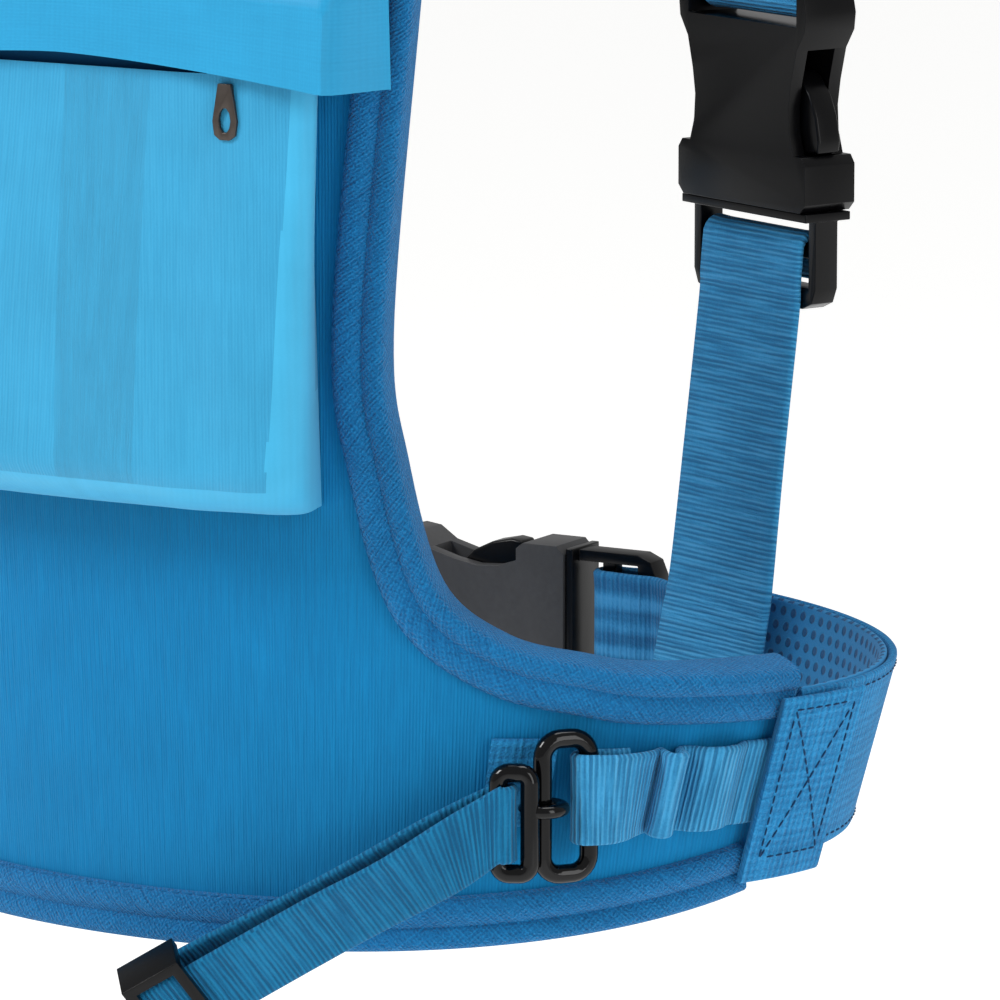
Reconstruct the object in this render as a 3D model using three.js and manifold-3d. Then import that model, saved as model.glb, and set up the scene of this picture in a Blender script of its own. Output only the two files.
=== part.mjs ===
// A child's safety harness vest: a padded bib with a zipped pocket, two padded shoulder straps, a waist
// belt that closes behind with a side-release buckle, a ring on a webbing daisy chain at each side, and
// a detachable adjustable strap. Millimetres, +Z up, the bib towards -Y, +X to the right of someone
// who faces the bib. The origin is the middle of the waist loop, halfway up the belt.
import * as THREE from 'three';
import { mergeVertices } from 'three/addons/utils/BufferGeometryUtils.js';
import Module from 'manifold-3d';

const wasm = await Module();
wasm.setup();

// Body of the vest
const waistHalfWidth = 138;
const waistHalfDepth = 90;
const sideFlare = 0.29;
const chestGrowth = 13;
const chestRise = 45;
const frontLean = 0.05;
const wingEndAngle = 73;
const clearance = 0.3;

// Bib
const coverThickness = 1.2;
const foamThickness = 3;
const liningThickness = 1.2;
const hemDrop = 36;
const hemSideRise = 12;
const bibNarrowHalf = 64;
const bibNarrowHeight = 100;
const shoulderHeight = 262;
const shoulderOuter = 86;
const shoulderWidth = 42;
const neckDepth = 47;
const shoulderCurveStart = 185;
const shoulderCurve = 0.005;
const bindingWidth = 10.5;
const bindingThickness = 1.6;
const bindingRoom = 1.1;
const neckRoom = 1.4;

// Pocket, flap and zip
const pocketHalfBottom = 58;
const pocketHalfTop = 65;
const pocketBottom = 63;
const pocketDepthBottom = 23;
const pocketDepthTop = 11;
const pocketWall = 1.2;
const zipHeight = 162;
const zipHalf = 54;
const flapTop = 184;
const flapCentreEdge = 161;
const flapDroop = 6;
const flapThickness = 1.6;
const sliderAt = 41;
const pullLength = 12;

// Webbing
const wideWeb = 38;
const ringWeb = 20;
const tetherWeb = 17;
const webThickness = 1.6;
const beltWidth = wideWeb + 2;

// Side-release buckle for the wide webbing
const buckleHalfWidth = wideWeb / 2 + 5.5;
const buckleThickness = 14.5;
const femaleLength = 52;
const maleLength = 23;
const flangeLength = 13;
const mouthRim = 2.2;
const cavityHalfWidth = buckleHalfWidth - mouthRim;
const cavityHalfHeight = 3.9;
const slotHalfWidth = wideWeb / 2 + 1.8;
const frameThickness = 6.5;
const releaseTravel = 30;
const catchDepth = 1.7;

// Shoulder pads
const padWidth = wideWeb + 8;
const padThickness = 6;
const shoulderPeak = 300;
const webRise = 24;

// Places of the buckles
const waistMouth = 15;
const waistBuckleY = 88;
const shoulderInnerEdge = 46;
const shoulderBuckleX = shoulderInnerEdge + wideWeb / 2;
const shoulderBuckleY = 88;
const shoulderMouth = 110;
const shoulderTurn = -25;
const shoulderFootX = shoulderBuckleX;

// Ring, hook and strap
const rodRadius = 2.1;
const ringHeight = 34;
const ringWidth = 15;
const ringCentreHeight = -1;
const ringBarDistance = 38.5;
const ringBarOffset = 6;
const ringTilt = 14;
const daisyCentreHeight = 0.5;
const eyeHeight = 26.4;
const eyeWidth = 11;
const tetherSlope = 30.7;
const tetherLength = 150;
const tetherTurn = 206;
const tetherRoll = 26;
const sliderPlace = 81;
const glideLength = 14;
const glideWidth = 26;

const fabric = { color: 0x1b7fc0, roughness: 0.9, metalness: 0 };
const finishes = {
  cover: fabric,
  foam: { color: 0xd9dde0, roughness: 0.95, metalness: 0 },
  mesh: { color: 0x1f8fcb, roughness: 0.95, metalness: 0 },
  binding: { color: 0x1f7cc2, roughness: 0.95, metalness: 0 },
  pocket: { color: 0x49abdb, roughness: 0.7, metalness: 0 },
  webbing: { color: 0x1878b4, roughness: 0.85, metalness: 0 },
  knit: { color: 0x2b8ccc, roughness: 0.9, metalness: 0 },
  plastic: { color: 0x0d0e10, roughness: 0.35, metalness: 0 },
  coil: { color: 0x2a88bb, roughness: 0.6, metalness: 0 },
  pull: { color: 0x3b3633, roughness: 0.4, metalness: 0.3 },
  rod: { color: 0x08090a, roughness: 0.15, metalness: 0.1 },
};

const vest = new THREE.Group();
const upward = new THREE.Vector3(0, 0, 1);
const radians = THREE.MathUtils.degToRad;
const beltTop = beltWidth / 2;
const coverInner = -coverThickness;
const foamOuter = coverInner - clearance;
const foamInner = foamOuter - foamThickness;
const liningOuter = foamInner - clearance;
const liningInner = liningOuter - liningThickness;

// General helpers

function signedVolume(geometry) {
  const position = geometry.attributes.position;
  const index = geometry.index;
  const corners = [new THREE.Vector3(), new THREE.Vector3(), new THREE.Vector3()];
  let volume = 0;
  for (let i = 0; i < index.count; i += 3) {
    corners.forEach((corner, k) => corner.fromBufferAttribute(position, index.getX(i + k)));
    volume += corners[0].dot(corners[1].clone().cross(corners[2])) / 6;
  }
  return volume;
}

// Merges shared vertices and turns the faces outwards.
function solid(geometry) {
  geometry.deleteAttribute('normal');
  geometry.deleteAttribute('uv');
  const merged = mergeVertices(geometry, 1e-4);
  if (signedVolume(merged) < 0) {
    const index = merged.index;
    for (let i = 0; i < index.count; i += 3) {
      const first = index.getX(i);
      index.setX(i, index.getX(i + 1));
      index.setX(i + 1, first);
    }
  }
  return merged;
}

function mirrorX(geometry) {
  return solid(geometry.clone().scale(-1, 1, 1));
}

function toManifold(geometry) {
  const bare = solid(geometry);
  return new wasm.Manifold(new wasm.Mesh({
    numProp: 3,
    vertProperties: new Float32Array(bare.attributes.position.array),
    triVerts: new Uint32Array(bare.index.array),
  }));
}

function combine(start, added, removed) {
  let body = toManifold(start);
  for (const geometry of added) {
    body = body.add(toManifold(geometry));
  }
  for (const geometry of removed) {
    body = body.subtract(toManifold(geometry));
  }
  const mesh = body.getMesh();
  const geometry = new THREE.BufferGeometry();
  geometry.setAttribute('position', new THREE.BufferAttribute(new Float32Array(mesh.vertProperties), 3));
  geometry.setIndex(new THREE.BufferAttribute(new Uint32Array(mesh.triVerts), 1));
  return geometry;
}

function part(parent, name, geometry, finish) {
  const mesh = new THREE.Mesh(solid(geometry), new THREE.MeshStandardMaterial(finishes[finish]));
  mesh.name = name;
  parent.add(mesh);
  return mesh;
}

// The same piece on both sides of the vest.
function pair(name, geometry, finish) {
  part(vest, `${name}_right`, geometry, finish);
  part(vest, `${name}_left`, mirrorX(geometry), finish);
}

function block(x, y, z, centreX = 0, centreY = 0, centreZ = 0) {
  return new THREE.BoxGeometry(x, y, z).translate(centreX, centreY, centreZ);
}

function outline(points) {
  return new THREE.Shape(points.map(([x, y]) => new THREE.Vector2(x, y)));
}

function oval(halfX, halfY, corners, middleX = 0, middleY = 0) {
  return outline(Array.from({ length: corners }, (_, i) => {
    const angle = (2 * Math.PI * i) / corners;
    return [middleX + halfX * Math.cos(angle), middleY + halfY * Math.sin(angle)];
  }));
}

function rectangle(width, height, middleX = 0, middleY = 0) {
  const [x, y] = [width / 2, height / 2];
  return outline([[middleX - x, middleY - y], [middleX + x, middleY - y],
    [middleX + x, middleY + y], [middleX - x, middleY + y]]);
}

// A slab with the outline in X and Y, centred on Z = 0.
function slab(shape, thickness) {
  return new THREE.ExtrudeGeometry(shape, { depth: thickness, bevelEnabled: false, curveSegments: 5 })
    .translate(0, 0, -thickness / 2);
}

// A section carried through stations, each with an origin and the directions of the section's x and y.
function loft(section, stations) {
  const steps = stations.length - 1;
  const geometry = new THREE.ExtrudeGeometry(section, { depth: 1, steps, bevelEnabled: false });
  const position = geometry.attributes.position;
  for (let i = 0; i < position.count; i++) {
    const station = stations[Math.round(position.getZ(i) * steps)];
    const place = station.at.clone()
      .addScaledVector(station.x, position.getX(i))
      .addScaledVector(station.y, position.getY(i));
    position.setXYZ(i, place.x, place.y, place.z);
  }
  return geometry;
}

// A curved sheet: place(u, v, t) gives the point for u across, v up and t through it, all from 0 to 1.
// The far face's quads are split along the same diagonal as the near face's, so stacked sheets nest.
function sheet(columns, rows, place) {
  const geometry = new THREE.BoxGeometry(1, 1, 1, columns, rows, 1);
  const index = geometry.index;
  const far = geometry.groups[5];
  for (let i = far.start; i < far.start + far.count; i += 6) {
    const [first, second, third, last] = [0, 1, 4, 5].map((k) => index.getX(i + k));
    [first, second, third, first, third, last].forEach((corner, k) => index.setX(i + k, corner));
  }
  const position = geometry.attributes.position;
  for (let i = 0; i < position.count; i++) {
    const point = place(position.getX(i) + 0.5, position.getY(i) + 0.5, position.getZ(i) + 0.5);
    position.setXYZ(i, point.x, point.y, point.z);
  }
  return geometry;
}

// Webbing along a line of points: across(i) gives the direction of its width.
function strap(points, across, width, thickness = webThickness) {
  const stations = points.map((at, i) => {
    const before = points[Math.max(i - 1, 0)];
    const after = points[Math.min(i + 1, points.length - 1)];
    const along = after.clone().sub(before).normalize();
    const side = across(i).clone().normalize();
    return { at, x: side, y: along.cross(side).normalize() };
  });
  return loft(rectangle(width, thickness), stations);
}

// Points of an arc round a centre, in the plane of two directions.
function arc(centre, first, second, radius, fromDegrees, toDegrees, steps) {
  return Array.from({ length: steps + 1 }, (_, i) => {
    const angle = radians(fromDegrees + ((toDegrees - fromDegrees) * i) / steps);
    return centre.clone()
      .addScaledVector(first, radius * Math.cos(angle))
      .addScaledVector(second, radius * Math.sin(angle));
  });
}

// A closed rod loop: a torus whose centre line is moved on to the given closed curve in X and Y.
function rodLoop(width, height, cornerRadius, radius) {
  const [x, y, r] = [width / 2 - radius, height / 2 - radius, cornerRadius];
  const line = new THREE.Path();
  line.moveTo(x, 0);
  line.lineTo(x, y - r);
  line.absarc(x - r, y - r, r, 0, Math.PI / 2);
  line.lineTo(r - x, y);
  line.absarc(r - x, y - r, r, Math.PI / 2, Math.PI);
  line.lineTo(-x, r - y);
  line.absarc(r - x, r - y, r, Math.PI, 1.5 * Math.PI);
  line.lineTo(x - r, -y);
  line.absarc(x - r, r - y, r, 1.5 * Math.PI, 2 * Math.PI);
  line.closePath();
  const segments = 28;
  const base = 10 * radius;
  const geometry = new THREE.TorusGeometry(base, radius, 8, segments);
  const position = geometry.attributes.position;
  for (let i = 0; i < position.count; i++) {
    const [px, py, pz] = [position.getX(i), position.getY(i), position.getZ(i)];
    const turn = (Math.round((Math.atan2(py, px) / (2 * Math.PI)) * segments) + segments) % segments;
    const centre = line.getPointAt(turn / segments);
    const tangent = line.getTangentAt(turn / segments);
    const outwardBy = Math.hypot(px, py) - base;
    position.setXYZ(i, centre.x + tangent.y * outwardBy, centre.y - tangent.x * outwardBy, pz);
  }
  return geometry;
}

function rod(points, radius, steps) {
  const section = oval(radius, radius, 8);
  const extrudePath = new THREE.CatmullRomCurve3(points);
  return new THREE.ExtrudeGeometry(section, { steps, extrudePath, curveSegments: 4, bevelEnabled: false });
}

// The body surface that the bib and the belt follow

function halfWidth(z) {
  const above = z - beltTop;
  return waistHalfWidth + (above < 0 ? sideFlare * above : chestGrowth * Math.tanh(above / chestRise));
}

function halfDepth(z) {
  const curve = Math.max(0, z - shoulderCurveStart);
  return waistHalfDepth + frontLean * (z - beltTop) - shoulderCurve * curve * curve;
}

// A point at an angle from the middle of the bib, 0 in front, 90 at the right side, 180 behind.
function around(degrees, z, offset) {
  const [sine, cosine] = [Math.sin(radians(degrees)), Math.cos(radians(degrees))];
  const [a, b] = [halfWidth(z), halfDepth(z)];
  const outwards = new THREE.Vector3(sine / a, -cosine / b, 0).normalize();
  return new THREE.Vector3(a * sine, -b * cosine, z).addScaledVector(outwards, offset);
}

function outwardsAt(degrees, z) {
  return around(degrees, z, 1).sub(around(degrees, z, 0));
}

function tangentAt(degrees, z) {
  return upward.clone().cross(outwardsAt(degrees, z));
}

// The way up along the surface, which leans where the body widens upwards.
function riseAt(degrees, z) {
  return around(degrees, z + 1, 0).sub(around(degrees, z - 1, 0)).normalize();
}

function squareTo(degrees, z) {
  return tangentAt(degrees, z).cross(riseAt(degrees, z)).normalize();
}

function angleOf(x, z) {
  return THREE.MathUtils.radToDeg(Math.asin(Math.min(1, x / halfWidth(z))));
}

// The angle reached by going a distance along the surface from another angle.
function angleAfter(degrees, distance, z = 0) {
  const step = 0.05 * Math.sign(distance);
  let [angle, gone] = [degrees, 0];
  while (gone < Math.abs(distance)) {
    gone += around(angle, z, 0).distanceTo(around(angle + step, z, 0));
    angle += step;
  }
  return angle;
}

// Edge of the bib from the lower corner of the wing up to the shoulder, as angle and height

const wingTop = beltTop + 5;
const hemSide = hemSideRise - hemDrop;
const wingTopX = halfWidth(wingTop) * Math.sin(radians(wingEndAngle));
const armholeCurve = new THREE.SplineCurve([
  new THREE.Vector2(wingTopX, wingTop),
  new THREE.Vector2(wingTopX - 21, wingTop + 1.2),
  new THREE.Vector2(bibNarrowHalf + 38, wingTop + 3.5),
  new THREE.Vector2(bibNarrowHalf + 23, wingTop + 8),
  new THREE.Vector2(bibNarrowHalf + 9.5, wingTop + 20),
  new THREE.Vector2(bibNarrowHalf + 2.5, (wingTop + 20 + bibNarrowHeight) / 2),
  new THREE.Vector2(bibNarrowHalf, bibNarrowHeight),
  new THREE.Vector2(bibNarrowHalf + 7, (bibNarrowHeight + shoulderHeight) / 2 - 16),
  new THREE.Vector2(shoulderOuter - 8, shoulderHeight - 42),
  new THREE.Vector2(shoulderOuter, shoulderHeight),
]);
const armholeSteps = 20;
const armhole = armholeCurve.getPoints(armholeSteps).map((point) => ({
  angle: angleOf(point.x, point.y),
  z: point.y,
}));
const wingSteps = 3;
const wingEdge = Array.from({ length: wingSteps }, (_, i) => ({
  angle: wingEndAngle,
  z: hemSide + ((wingTop - hemSide) * i) / wingSteps,
}));
const bibEdge = [...wingEdge, ...armhole];

function hemHeight(share) {
  return -hemDrop + hemSideRise * Math.abs(share) ** 2.4;
}

const neckShare = 1 - shoulderWidth / shoulderOuter;

function neckHeight(share) {
  const across = Math.min(1, Math.abs(share) / neckShare);
  return shoulderHeight - neckDepth * (1 - across ** 2);
}

// A point of the bib: share runs from -1 at the left edge to 1 at the right edge.
function bibPoint(share, row, offset) {
  const edge = bibEdge[row];
  const rise = (edge.z - hemSide) / (shoulderHeight - hemSide);
  const z = hemHeight(share) + rise * (neckHeight(share) - hemHeight(share));
  const angle = share * edge.angle;
  return around(angle, z, 0).addScaledVector(squareTo(angle, z), offset);
}

const bibColumns = 18;

function bibLayer(outer, inner) {
  const rows = bibEdge.length - 1;
  return sheet(bibColumns, rows, (u, v, t) => (
    bibPoint(2 * u - 1, Math.round(v * rows), THREE.MathUtils.lerp(inner, outer, t))
  ));
}

part(vest, 'bib_outer_cover', bibLayer(0, coverInner), 'cover');
part(vest, 'bib_foam', bibLayer(foamOuter, foamInner), 'foam');
part(vest, 'bib_mesh_lining', bibLayer(liningOuter, liningInner), 'mesh');

// Bindings: a U of knit tape folded over each edge of the bib. The section's x runs out over the edge
// and its y outwards from the body.
function bindingSection(room) {
  const fold = room + bindingThickness;
  return outline([
    [-bindingWidth, room], [room, room], [room, liningInner - room], [-bindingWidth, liningInner - room],
    [-bindingWidth, liningInner - fold], [fold, liningInner - fold], [fold, fold], [-bindingWidth, fold],
  ]);
}

function bindingStations(edgePoints) {
  return edgePoints.map(({ angle, z }, i) => {
    const before = edgePoints[Math.max(i - 1, 0)];
    const after = edgePoints[Math.min(i + 1, edgePoints.length - 1)];
    const direction = around(after.angle, after.z, 0).sub(around(before.angle, before.z, 0)).normalize();
    const outwards = squareTo(angle, z);
    return { at: around(angle, z, 0), x: outwards.clone().cross(direction).normalize(), y: outwards };
  });
}

const armholeStations = bindingStations([...armhole].reverse());
pair('armhole_binding', loft(bindingSection(bindingRoom), armholeStations), 'binding');

const hemPath = Array.from({ length: bibColumns + 1 }, (_, i) => {
  const share = (2 * i) / bibColumns - 1;
  return { angle: share * wingEndAngle, z: hemHeight(share) };
});
part(vest, 'hem_binding', loft(bindingSection(bindingRoom), bindingStations(hemPath.reverse())), 'binding');

const shoulderAngle = bibEdge.at(-1).angle;
const neckPath = Array.from({ length: bibColumns + 1 }, (_, i) => (2 * i) / bibColumns - 1)
  .filter((share) => Math.abs(share) < neckShare)
  .map((share) => ({ angle: share * shoulderAngle, z: neckHeight(share) }));
part(vest, 'neck_binding', loft(bindingSection(neckRoom), bindingStations(neckPath)), 'binding');

// Pocket: a deep patch with an open mouth at the zip and an open back against the bib

function pocketFace(x, z) {
  const low = THREE.MathUtils.clamp((zipHeight - z) / (zipHeight - pocketBottom), -0.3, 1);
  const depth = THREE.MathUtils.lerp(pocketDepthTop, pocketDepthBottom, low);
  return -halfDepth(z) - depth + 0.0012 * Math.max(0, low) * x * x;
}

function bibFace(x, z) {
  return around(angleOf(Math.abs(x), z), z, 0).y;
}

function pocketHalf(z) {
  return THREE.MathUtils.mapLinear(z, pocketBottom, zipHeight, pocketHalfBottom, pocketHalfTop);
}

const pocketTop = zipHeight - 4;

// The gusset leans in from the face to its seam on the bib, just inside the armhole bindings.
const seamHalf = bibNarrowHalf - bindingWidth - 4;

// A reach of 1 ends just clear of the bib; the hollow inside reaches past that, along the same lines.
function pocketBlock(inset, low, high, reach) {
  return sheet(12, 6, (u, v, t) => {
    const z = THREE.MathUtils.lerp(low, high, v);
    const share = 2 * u - 1;
    const faceX = share * (pocketHalf(z) - inset);
    const seamX = share * (seamHalf - inset);
    const front = pocketFace(faceX, z) + inset;
    const back = bibFace(seamX, z) - 2 * clearance;
    return new THREE.Vector3(
      THREE.MathUtils.lerp(faceX, seamX, reach * t),
      THREE.MathUtils.lerp(front, back, reach * t),
      z,
    );
  });
}

part(vest, 'pocket_body', combine(
  pocketBlock(0, pocketBottom, pocketTop, 1),
  [],
  [pocketBlock(pocketWall, pocketBottom + pocketWall, pocketTop + 10, 1.5)],
), 'pocket');

// The flap covers the zip and comes down to the bib at both ends and along its top.
const flapHalf = pocketHalfTop + 5;
part(vest, 'pocket_flap', sheet(20, 6, (u, v, t) => {
  const across = 2 * u - 1;
  const share = Math.sign(across) * (1 - (1 - Math.abs(across)) ** 1.6);
  const low = flapCentreEdge - flapDroop * Math.abs(share) ** 1.5;
  const z = THREE.MathUtils.lerp(low, flapTop, v);
  const x = share * flapHalf;
  const ends = THREE.MathUtils.smoothstep(1 - Math.abs(share), 0, 0.06);
  const top = THREE.MathUtils.smoothstep(1 - v, 0, 0.35);
  const close = bibFace(x, z) - bindingRoom - bindingThickness - 4 * clearance;
  const over = Math.min(pocketFace(x, z) - 6 * clearance, close);
  const inner = THREE.MathUtils.lerp(close, over, Math.min(ends, top));
  return new THREE.Vector3(x, inner - t * flapThickness, z);
}), 'pocket');

// Zip behind the flap's lower edge: tape, coil, slider and its hanging pull
const zipFace = pocketFace(0, zipHeight);
const tapeThickness = 0.8;
const coilHalf = 1.4;
const coilDepth = 1;
const tapeBack = zipFace + pocketWall + 2 * clearance;
const tapeWidth = 11;
part(vest, 'zip_tape', block(2 * zipHalf, tapeThickness, tapeWidth, 0,
  tapeBack + tapeThickness / 2, zipHeight - 1), 'coil');
part(vest, 'zip_coil', block(2 * zipHalf - 2, coilDepth, 2 * coilHalf, 0,
  tapeBack - clearance - coilDepth / 2, zipHeight), 'coil');
[-1, 1].forEach((side) => {
  const name = side > 0 ? 'zip_stop_right' : 'zip_stop_left';
  part(vest, name, block(1.6, coilDepth, 2 * coilHalf + 1, side * (zipHalf + 0.5),
    tapeBack - clearance - coilDepth / 2, zipHeight), 'pull');
});

const sliderFront = tapeBack - clearance - coilDepth - clearance;
const sliderThickness = 0.7;
const sliderWidth = 7;
const sliderLength = 5.6;
part(vest, 'zip_slider', block(sliderWidth, sliderThickness, sliderLength, sliderAt,
  sliderFront - sliderThickness / 2, pocketTop + clearance + sliderLength / 2), 'pull');

const pullThickness = 1;
const flapEdgeAtStop = flapCentreEdge - flapDroop * (zipHalf / flapHalf) ** 1.5;
const pullTop = Math.min(flapEdgeAtStop, pocketTop) - 2 * clearance;
const pullFace = pocketFace(sliderAt, pullTop - pullLength) - 2 * clearance - pullThickness / 2;
const pullShape = outline([[-1.6, 0], [1.6, 0], [3, -pullLength + 4], [2.6, -pullLength + 1],
  [1.2, -pullLength], [-1.2, -pullLength], [-2.6, -pullLength + 1], [-3, -pullLength + 4]]);
pullShape.holes.push(oval(1.5, 2.7, 10, 0, -pullLength + 4.2));
part(vest, 'zip_pull', slab(pullShape, pullThickness).rotateX(Math.PI / 2)
  .translate(sliderAt, pullFace, pullTop), 'pull');

// Waist belt: webbing outside and honeycomb mesh inside, from the wing round to the back

const beltThickness = 2;
const meshThickness = 1.6;
const webLead = 6;
const beltEndX = waistMouth + releaseTravel + mouthRim + webLead;
const beltEndAngle = 180 - angleOf(beltEndX, 0);
const patchLength = 22;
const patchStart = wingEndAngle - 2.5;
const patchEnd = angleAfter(patchStart, patchLength);
const patchOffset = bindingRoom + bindingThickness + 3 * clearance;
const beltStart = angleAfter(wingEndAngle, 4);

// A band of the body surface between two angles, with its lower and upper edges and its two faces.
function band(from, to, low, high, inner, outer, columns) {
  return sheet(columns, 2, (u, v, t) => around(
    THREE.MathUtils.lerp(from, to, u),
    THREE.MathUtils.lerp(low, high, v),
    THREE.MathUtils.lerp(inner, outer, t),
  ));
}

pair('waist_belt', band(beltStart, beltEndAngle, -beltTop, beltTop, -beltThickness, 0, 22), 'knit');
pair('belt_lining', band(angleAfter(beltStart, 2), beltEndAngle, -beltTop, beltTop,
  -beltThickness - clearance - meshThickness, -beltThickness - clearance, 22), 'mesh');
pair('belt_patch', band(patchStart, patchEnd, -beltTop - 2.7, beltTop,
  patchOffset, patchOffset + beltThickness, 8), 'knit');

// Frames: a matrix that carries a piece's own X and Y directions and its origin into the vest

function frame(origin, x, y) {
  const across = x.clone().normalize();
  const up = y.clone().normalize();
  return new THREE.Matrix4().makeBasis(across, up, across.clone().cross(up)).setPosition(origin);
}

function placedGroup(matrix) {
  const group = new THREE.Group();
  group.applyMatrix4(matrix);
  vest.add(group);
  return group;
}

function level(degrees) {
  return new THREE.Vector3(Math.cos(radians(degrees)), Math.sin(radians(degrees)), 0);
}

// Side-release buckle. X runs across the webbing, Y from the male half into the female half with 0 at
// the mouth, and Z towards the wearer.

const webBar = 5;
const femaleBarY = femaleLength - webBar / 2;
const femaleWrap = (webBar / 2) * Math.SQRT2 + clearance + webThickness / 2;
const femaleSlotStart = femaleBarY - femaleWrap - webThickness / 2 - 4 * clearance;
const cavityEnd = femaleSlotStart - 5.5;
const narrowHalf = buckleHalfWidth - 6.5;
const maleBar = 3.5;
const maleBarY = -9.5;
const maleWrap = (maleBar / 2) * Math.SQRT2 + clearance + webThickness / 2;
const maleSlotEnd = -maleLength + 5;
const rimThickness = buckleThickness - 1.5;
const armRoot = 0.8;
const armInner = buckleHalfWidth - 14.3;
const armOuter = buckleHalfWidth - 9.3;
const armThickness = 2 * cavityHalfHeight - 1.4;

function mirroredOutline(half) {
  return outline([...half, ...half.map(([x, y]) => [-x, y]).reverse()]);
}

function femaleGeometry() {
  const w = buckleHalfWidth;
  const body = slab(mirroredOutline([
    [w - 2, 0], [w, 2], [w, flangeLength - 2], [w - 1.5, flangeLength], [narrowHalf + 2, flangeLength],
    [narrowHalf + 0.4, 18], [narrowHalf, 24], [narrowHalf + 1, 30], [w - 3.5, 37.5], [w - 0.5, 42],
    [w, 46], [w - 1, femaleLength - 2], [w - 3.5, femaleLength],
  ]), buckleThickness);
  const recess = (buckleThickness - webBar) / 2;
  const recessLength = femaleLength + 1 - femaleSlotStart;
  const recesses = [1, -1].map((side) => block(2 * slotHalfWidth, recessLength, recess + 1,
    0, femaleSlotStart + recessLength / 2, side * (webBar / 2 + (recess + 1) / 2)));
  const slotLength = femaleLength - webBar - femaleSlotStart;
  const slot = block(2 * slotHalfWidth, slotLength, buckleThickness + 2, 0, femaleSlotStart + slotLength / 2);
  const cavity = block(2 * cavityHalfWidth, cavityEnd + 1, 2 * cavityHalfHeight, 0, (cavityEnd - 1) / 2);
  return combine(body, [], [slot, ...recesses, cavity]);
}

function maleGeometry() {
  const w = buckleHalfWidth - 1;
  const end = -maleLength;
  const body = slab(mirroredOutline([
    [w, -0.2], [w, end + 5], [w - 1.5, end + 1.5], [w - 5, end],
  ].reverse()), frameThickness);
  const rim = block(2 * buckleHalfWidth - 1, mouthRim - 0.2, rimThickness, 0, -(mouthRim + 0.2) / 2);
  const tongue = block(6, cavityEnd - 4, 5, 0, (cavityEnd - 4) / 2 - 0.3);
  const barTop = maleBarY + maleBar / 2;
  const barBottom = maleBarY - maleBar / 2;
  const nearSlot = block(2 * slotHalfWidth, -mouthRim - barTop, 20, 0, (barTop - mouthRim) / 2);
  const farSlot = block(2 * slotHalfWidth, barBottom - maleSlotEnd, 20, 0, (barBottom + maleSlotEnd) / 2);
  const recesses = [1, -1].map((side) => block(2 * slotHalfWidth, maleBar + 1, frameThickness,
    0, maleBarY, side * (maleBar + frameThickness) / 2));
  return combine(body, [rim, tongue], [nearSlot, farSlot, ...recesses]);
}

function latchGeometry() {
  const catchAt = flangeLength + 2 * clearance;
  const reach = cavityHalfWidth + catchDepth;
  return slab(outline([
    [armInner, armRoot], [armOuter, armRoot], [armOuter, catchAt - 1], [armOuter + 1, catchAt],
    [reach, catchAt], [reach + 0.4, catchAt + 3], [reach - 0.8, 22], [reach - 3.2, 27], [armOuter + 1.5, 31],
    [armOuter - 1, 32], [armInner + 2, 30.5], [armInner + 0.6, 26],
  ]), armThickness);
}

const female = femaleGeometry();
const male = maleGeometry();
const latch = latchGeometry();

function buckle(prefix, matrix, latchNames) {
  const group = placedGroup(matrix);
  part(group, `${prefix}_buckle_female`, female.clone(), 'plastic');
  part(group, `${prefix}_buckle_male`, male.clone(), 'plastic');
  part(group, `${prefix}_latch_${latchNames[0]}`, latch.clone(), 'plastic');
  part(group, `${prefix}_latch_${latchNames[1]}`, mirrorX(latch), 'plastic');
}

const waistFrame = frame(new THREE.Vector3(waistMouth, waistBuckleY, 0), upward, level(180));
buckle('waist', waistFrame, ['upper', 'lower']);

// Points of the webbing round a bar, in the buckle's frame, from behind the bar to its front.
function roundBar(matrix, barY, radius, from, to) {
  return arc(new THREE.Vector3(0, barY, 0), new THREE.Vector3(0, 1, 0), new THREE.Vector3(0, 0, 1),
    radius, from, to, 8).map((point) => point.applyMatrix4(matrix));
}

function inFrame(matrix, y, z) {
  return new THREE.Vector3(0, y, z).applyMatrix4(matrix);
}

// From a short tail behind the male's bar, over the bar and down in front of its end piece.
function maleWebPoints(matrix) {
  const frontZ = frameThickness / 2 + clearance + webThickness / 2;
  return [
    inFrame(matrix, maleSlotEnd + 1, -maleWrap - 1), inFrame(matrix, maleBarY - 3, -maleWrap),
    ...roundBar(matrix, maleBarY, maleWrap, -90, 90),
    inFrame(matrix, maleSlotEnd, frontZ), inFrame(matrix, -maleLength - 1, frontZ + 0.3),
  ];
}

// Webbing between the waist buckle and the two ends of the belt
const layerOffset = -beltThickness - meshThickness - 5 * clearance - webThickness / 2;
const webFootX = beltEndX + 12;

function beltPoint(x, offset) {
  return around(180 - angleOf(x, 0), 0, offset);
}

const webSteps = [beltEndX - webLead, beltEndX + 6, webFootX];
const waistWebRight = [
  ...maleWebPoints(waistFrame),
  ...webSteps.map((x) => beltPoint(x, layerOffset)),
];
const beltLean = riseAt(180 - angleOf(beltEndX, 0), 0);
const leanPast = (i, points) => (Math.abs(points[i].x) > beltEndX - webLead - 1 ? beltLean : upward);
part(vest, 'waist_web_right',
  strap(waistWebRight, (i) => leanPast(i, waistWebRight), wideWeb), 'webbing');

const outerOffset = 3 * clearance + webThickness / 2;
const leftOf = (point) => point.setX(-point.x);
const waistWebLeft = [
  ...webSteps.map((x) => leftOf(beltPoint(x, layerOffset))).reverse(),
  inFrame(waistFrame, femaleLength + 2, femaleWrap),
  ...roundBar(waistFrame, femaleBarY, femaleWrap, 90, 270),
  inFrame(waistFrame, femaleLength + 2, -femaleWrap),
  ...webSteps.map((x) => leftOf(beltPoint(x, outerOffset))),
];
const leftLean = beltLean.clone().setX(-beltLean.x);
const leftAcross = (i) => (leanPast(i, waistWebLeft) === upward ? upward : leftLean);
part(vest, 'waist_web_left', strap(waistWebLeft, leftAcross, wideWeb), 'webbing');

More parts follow.
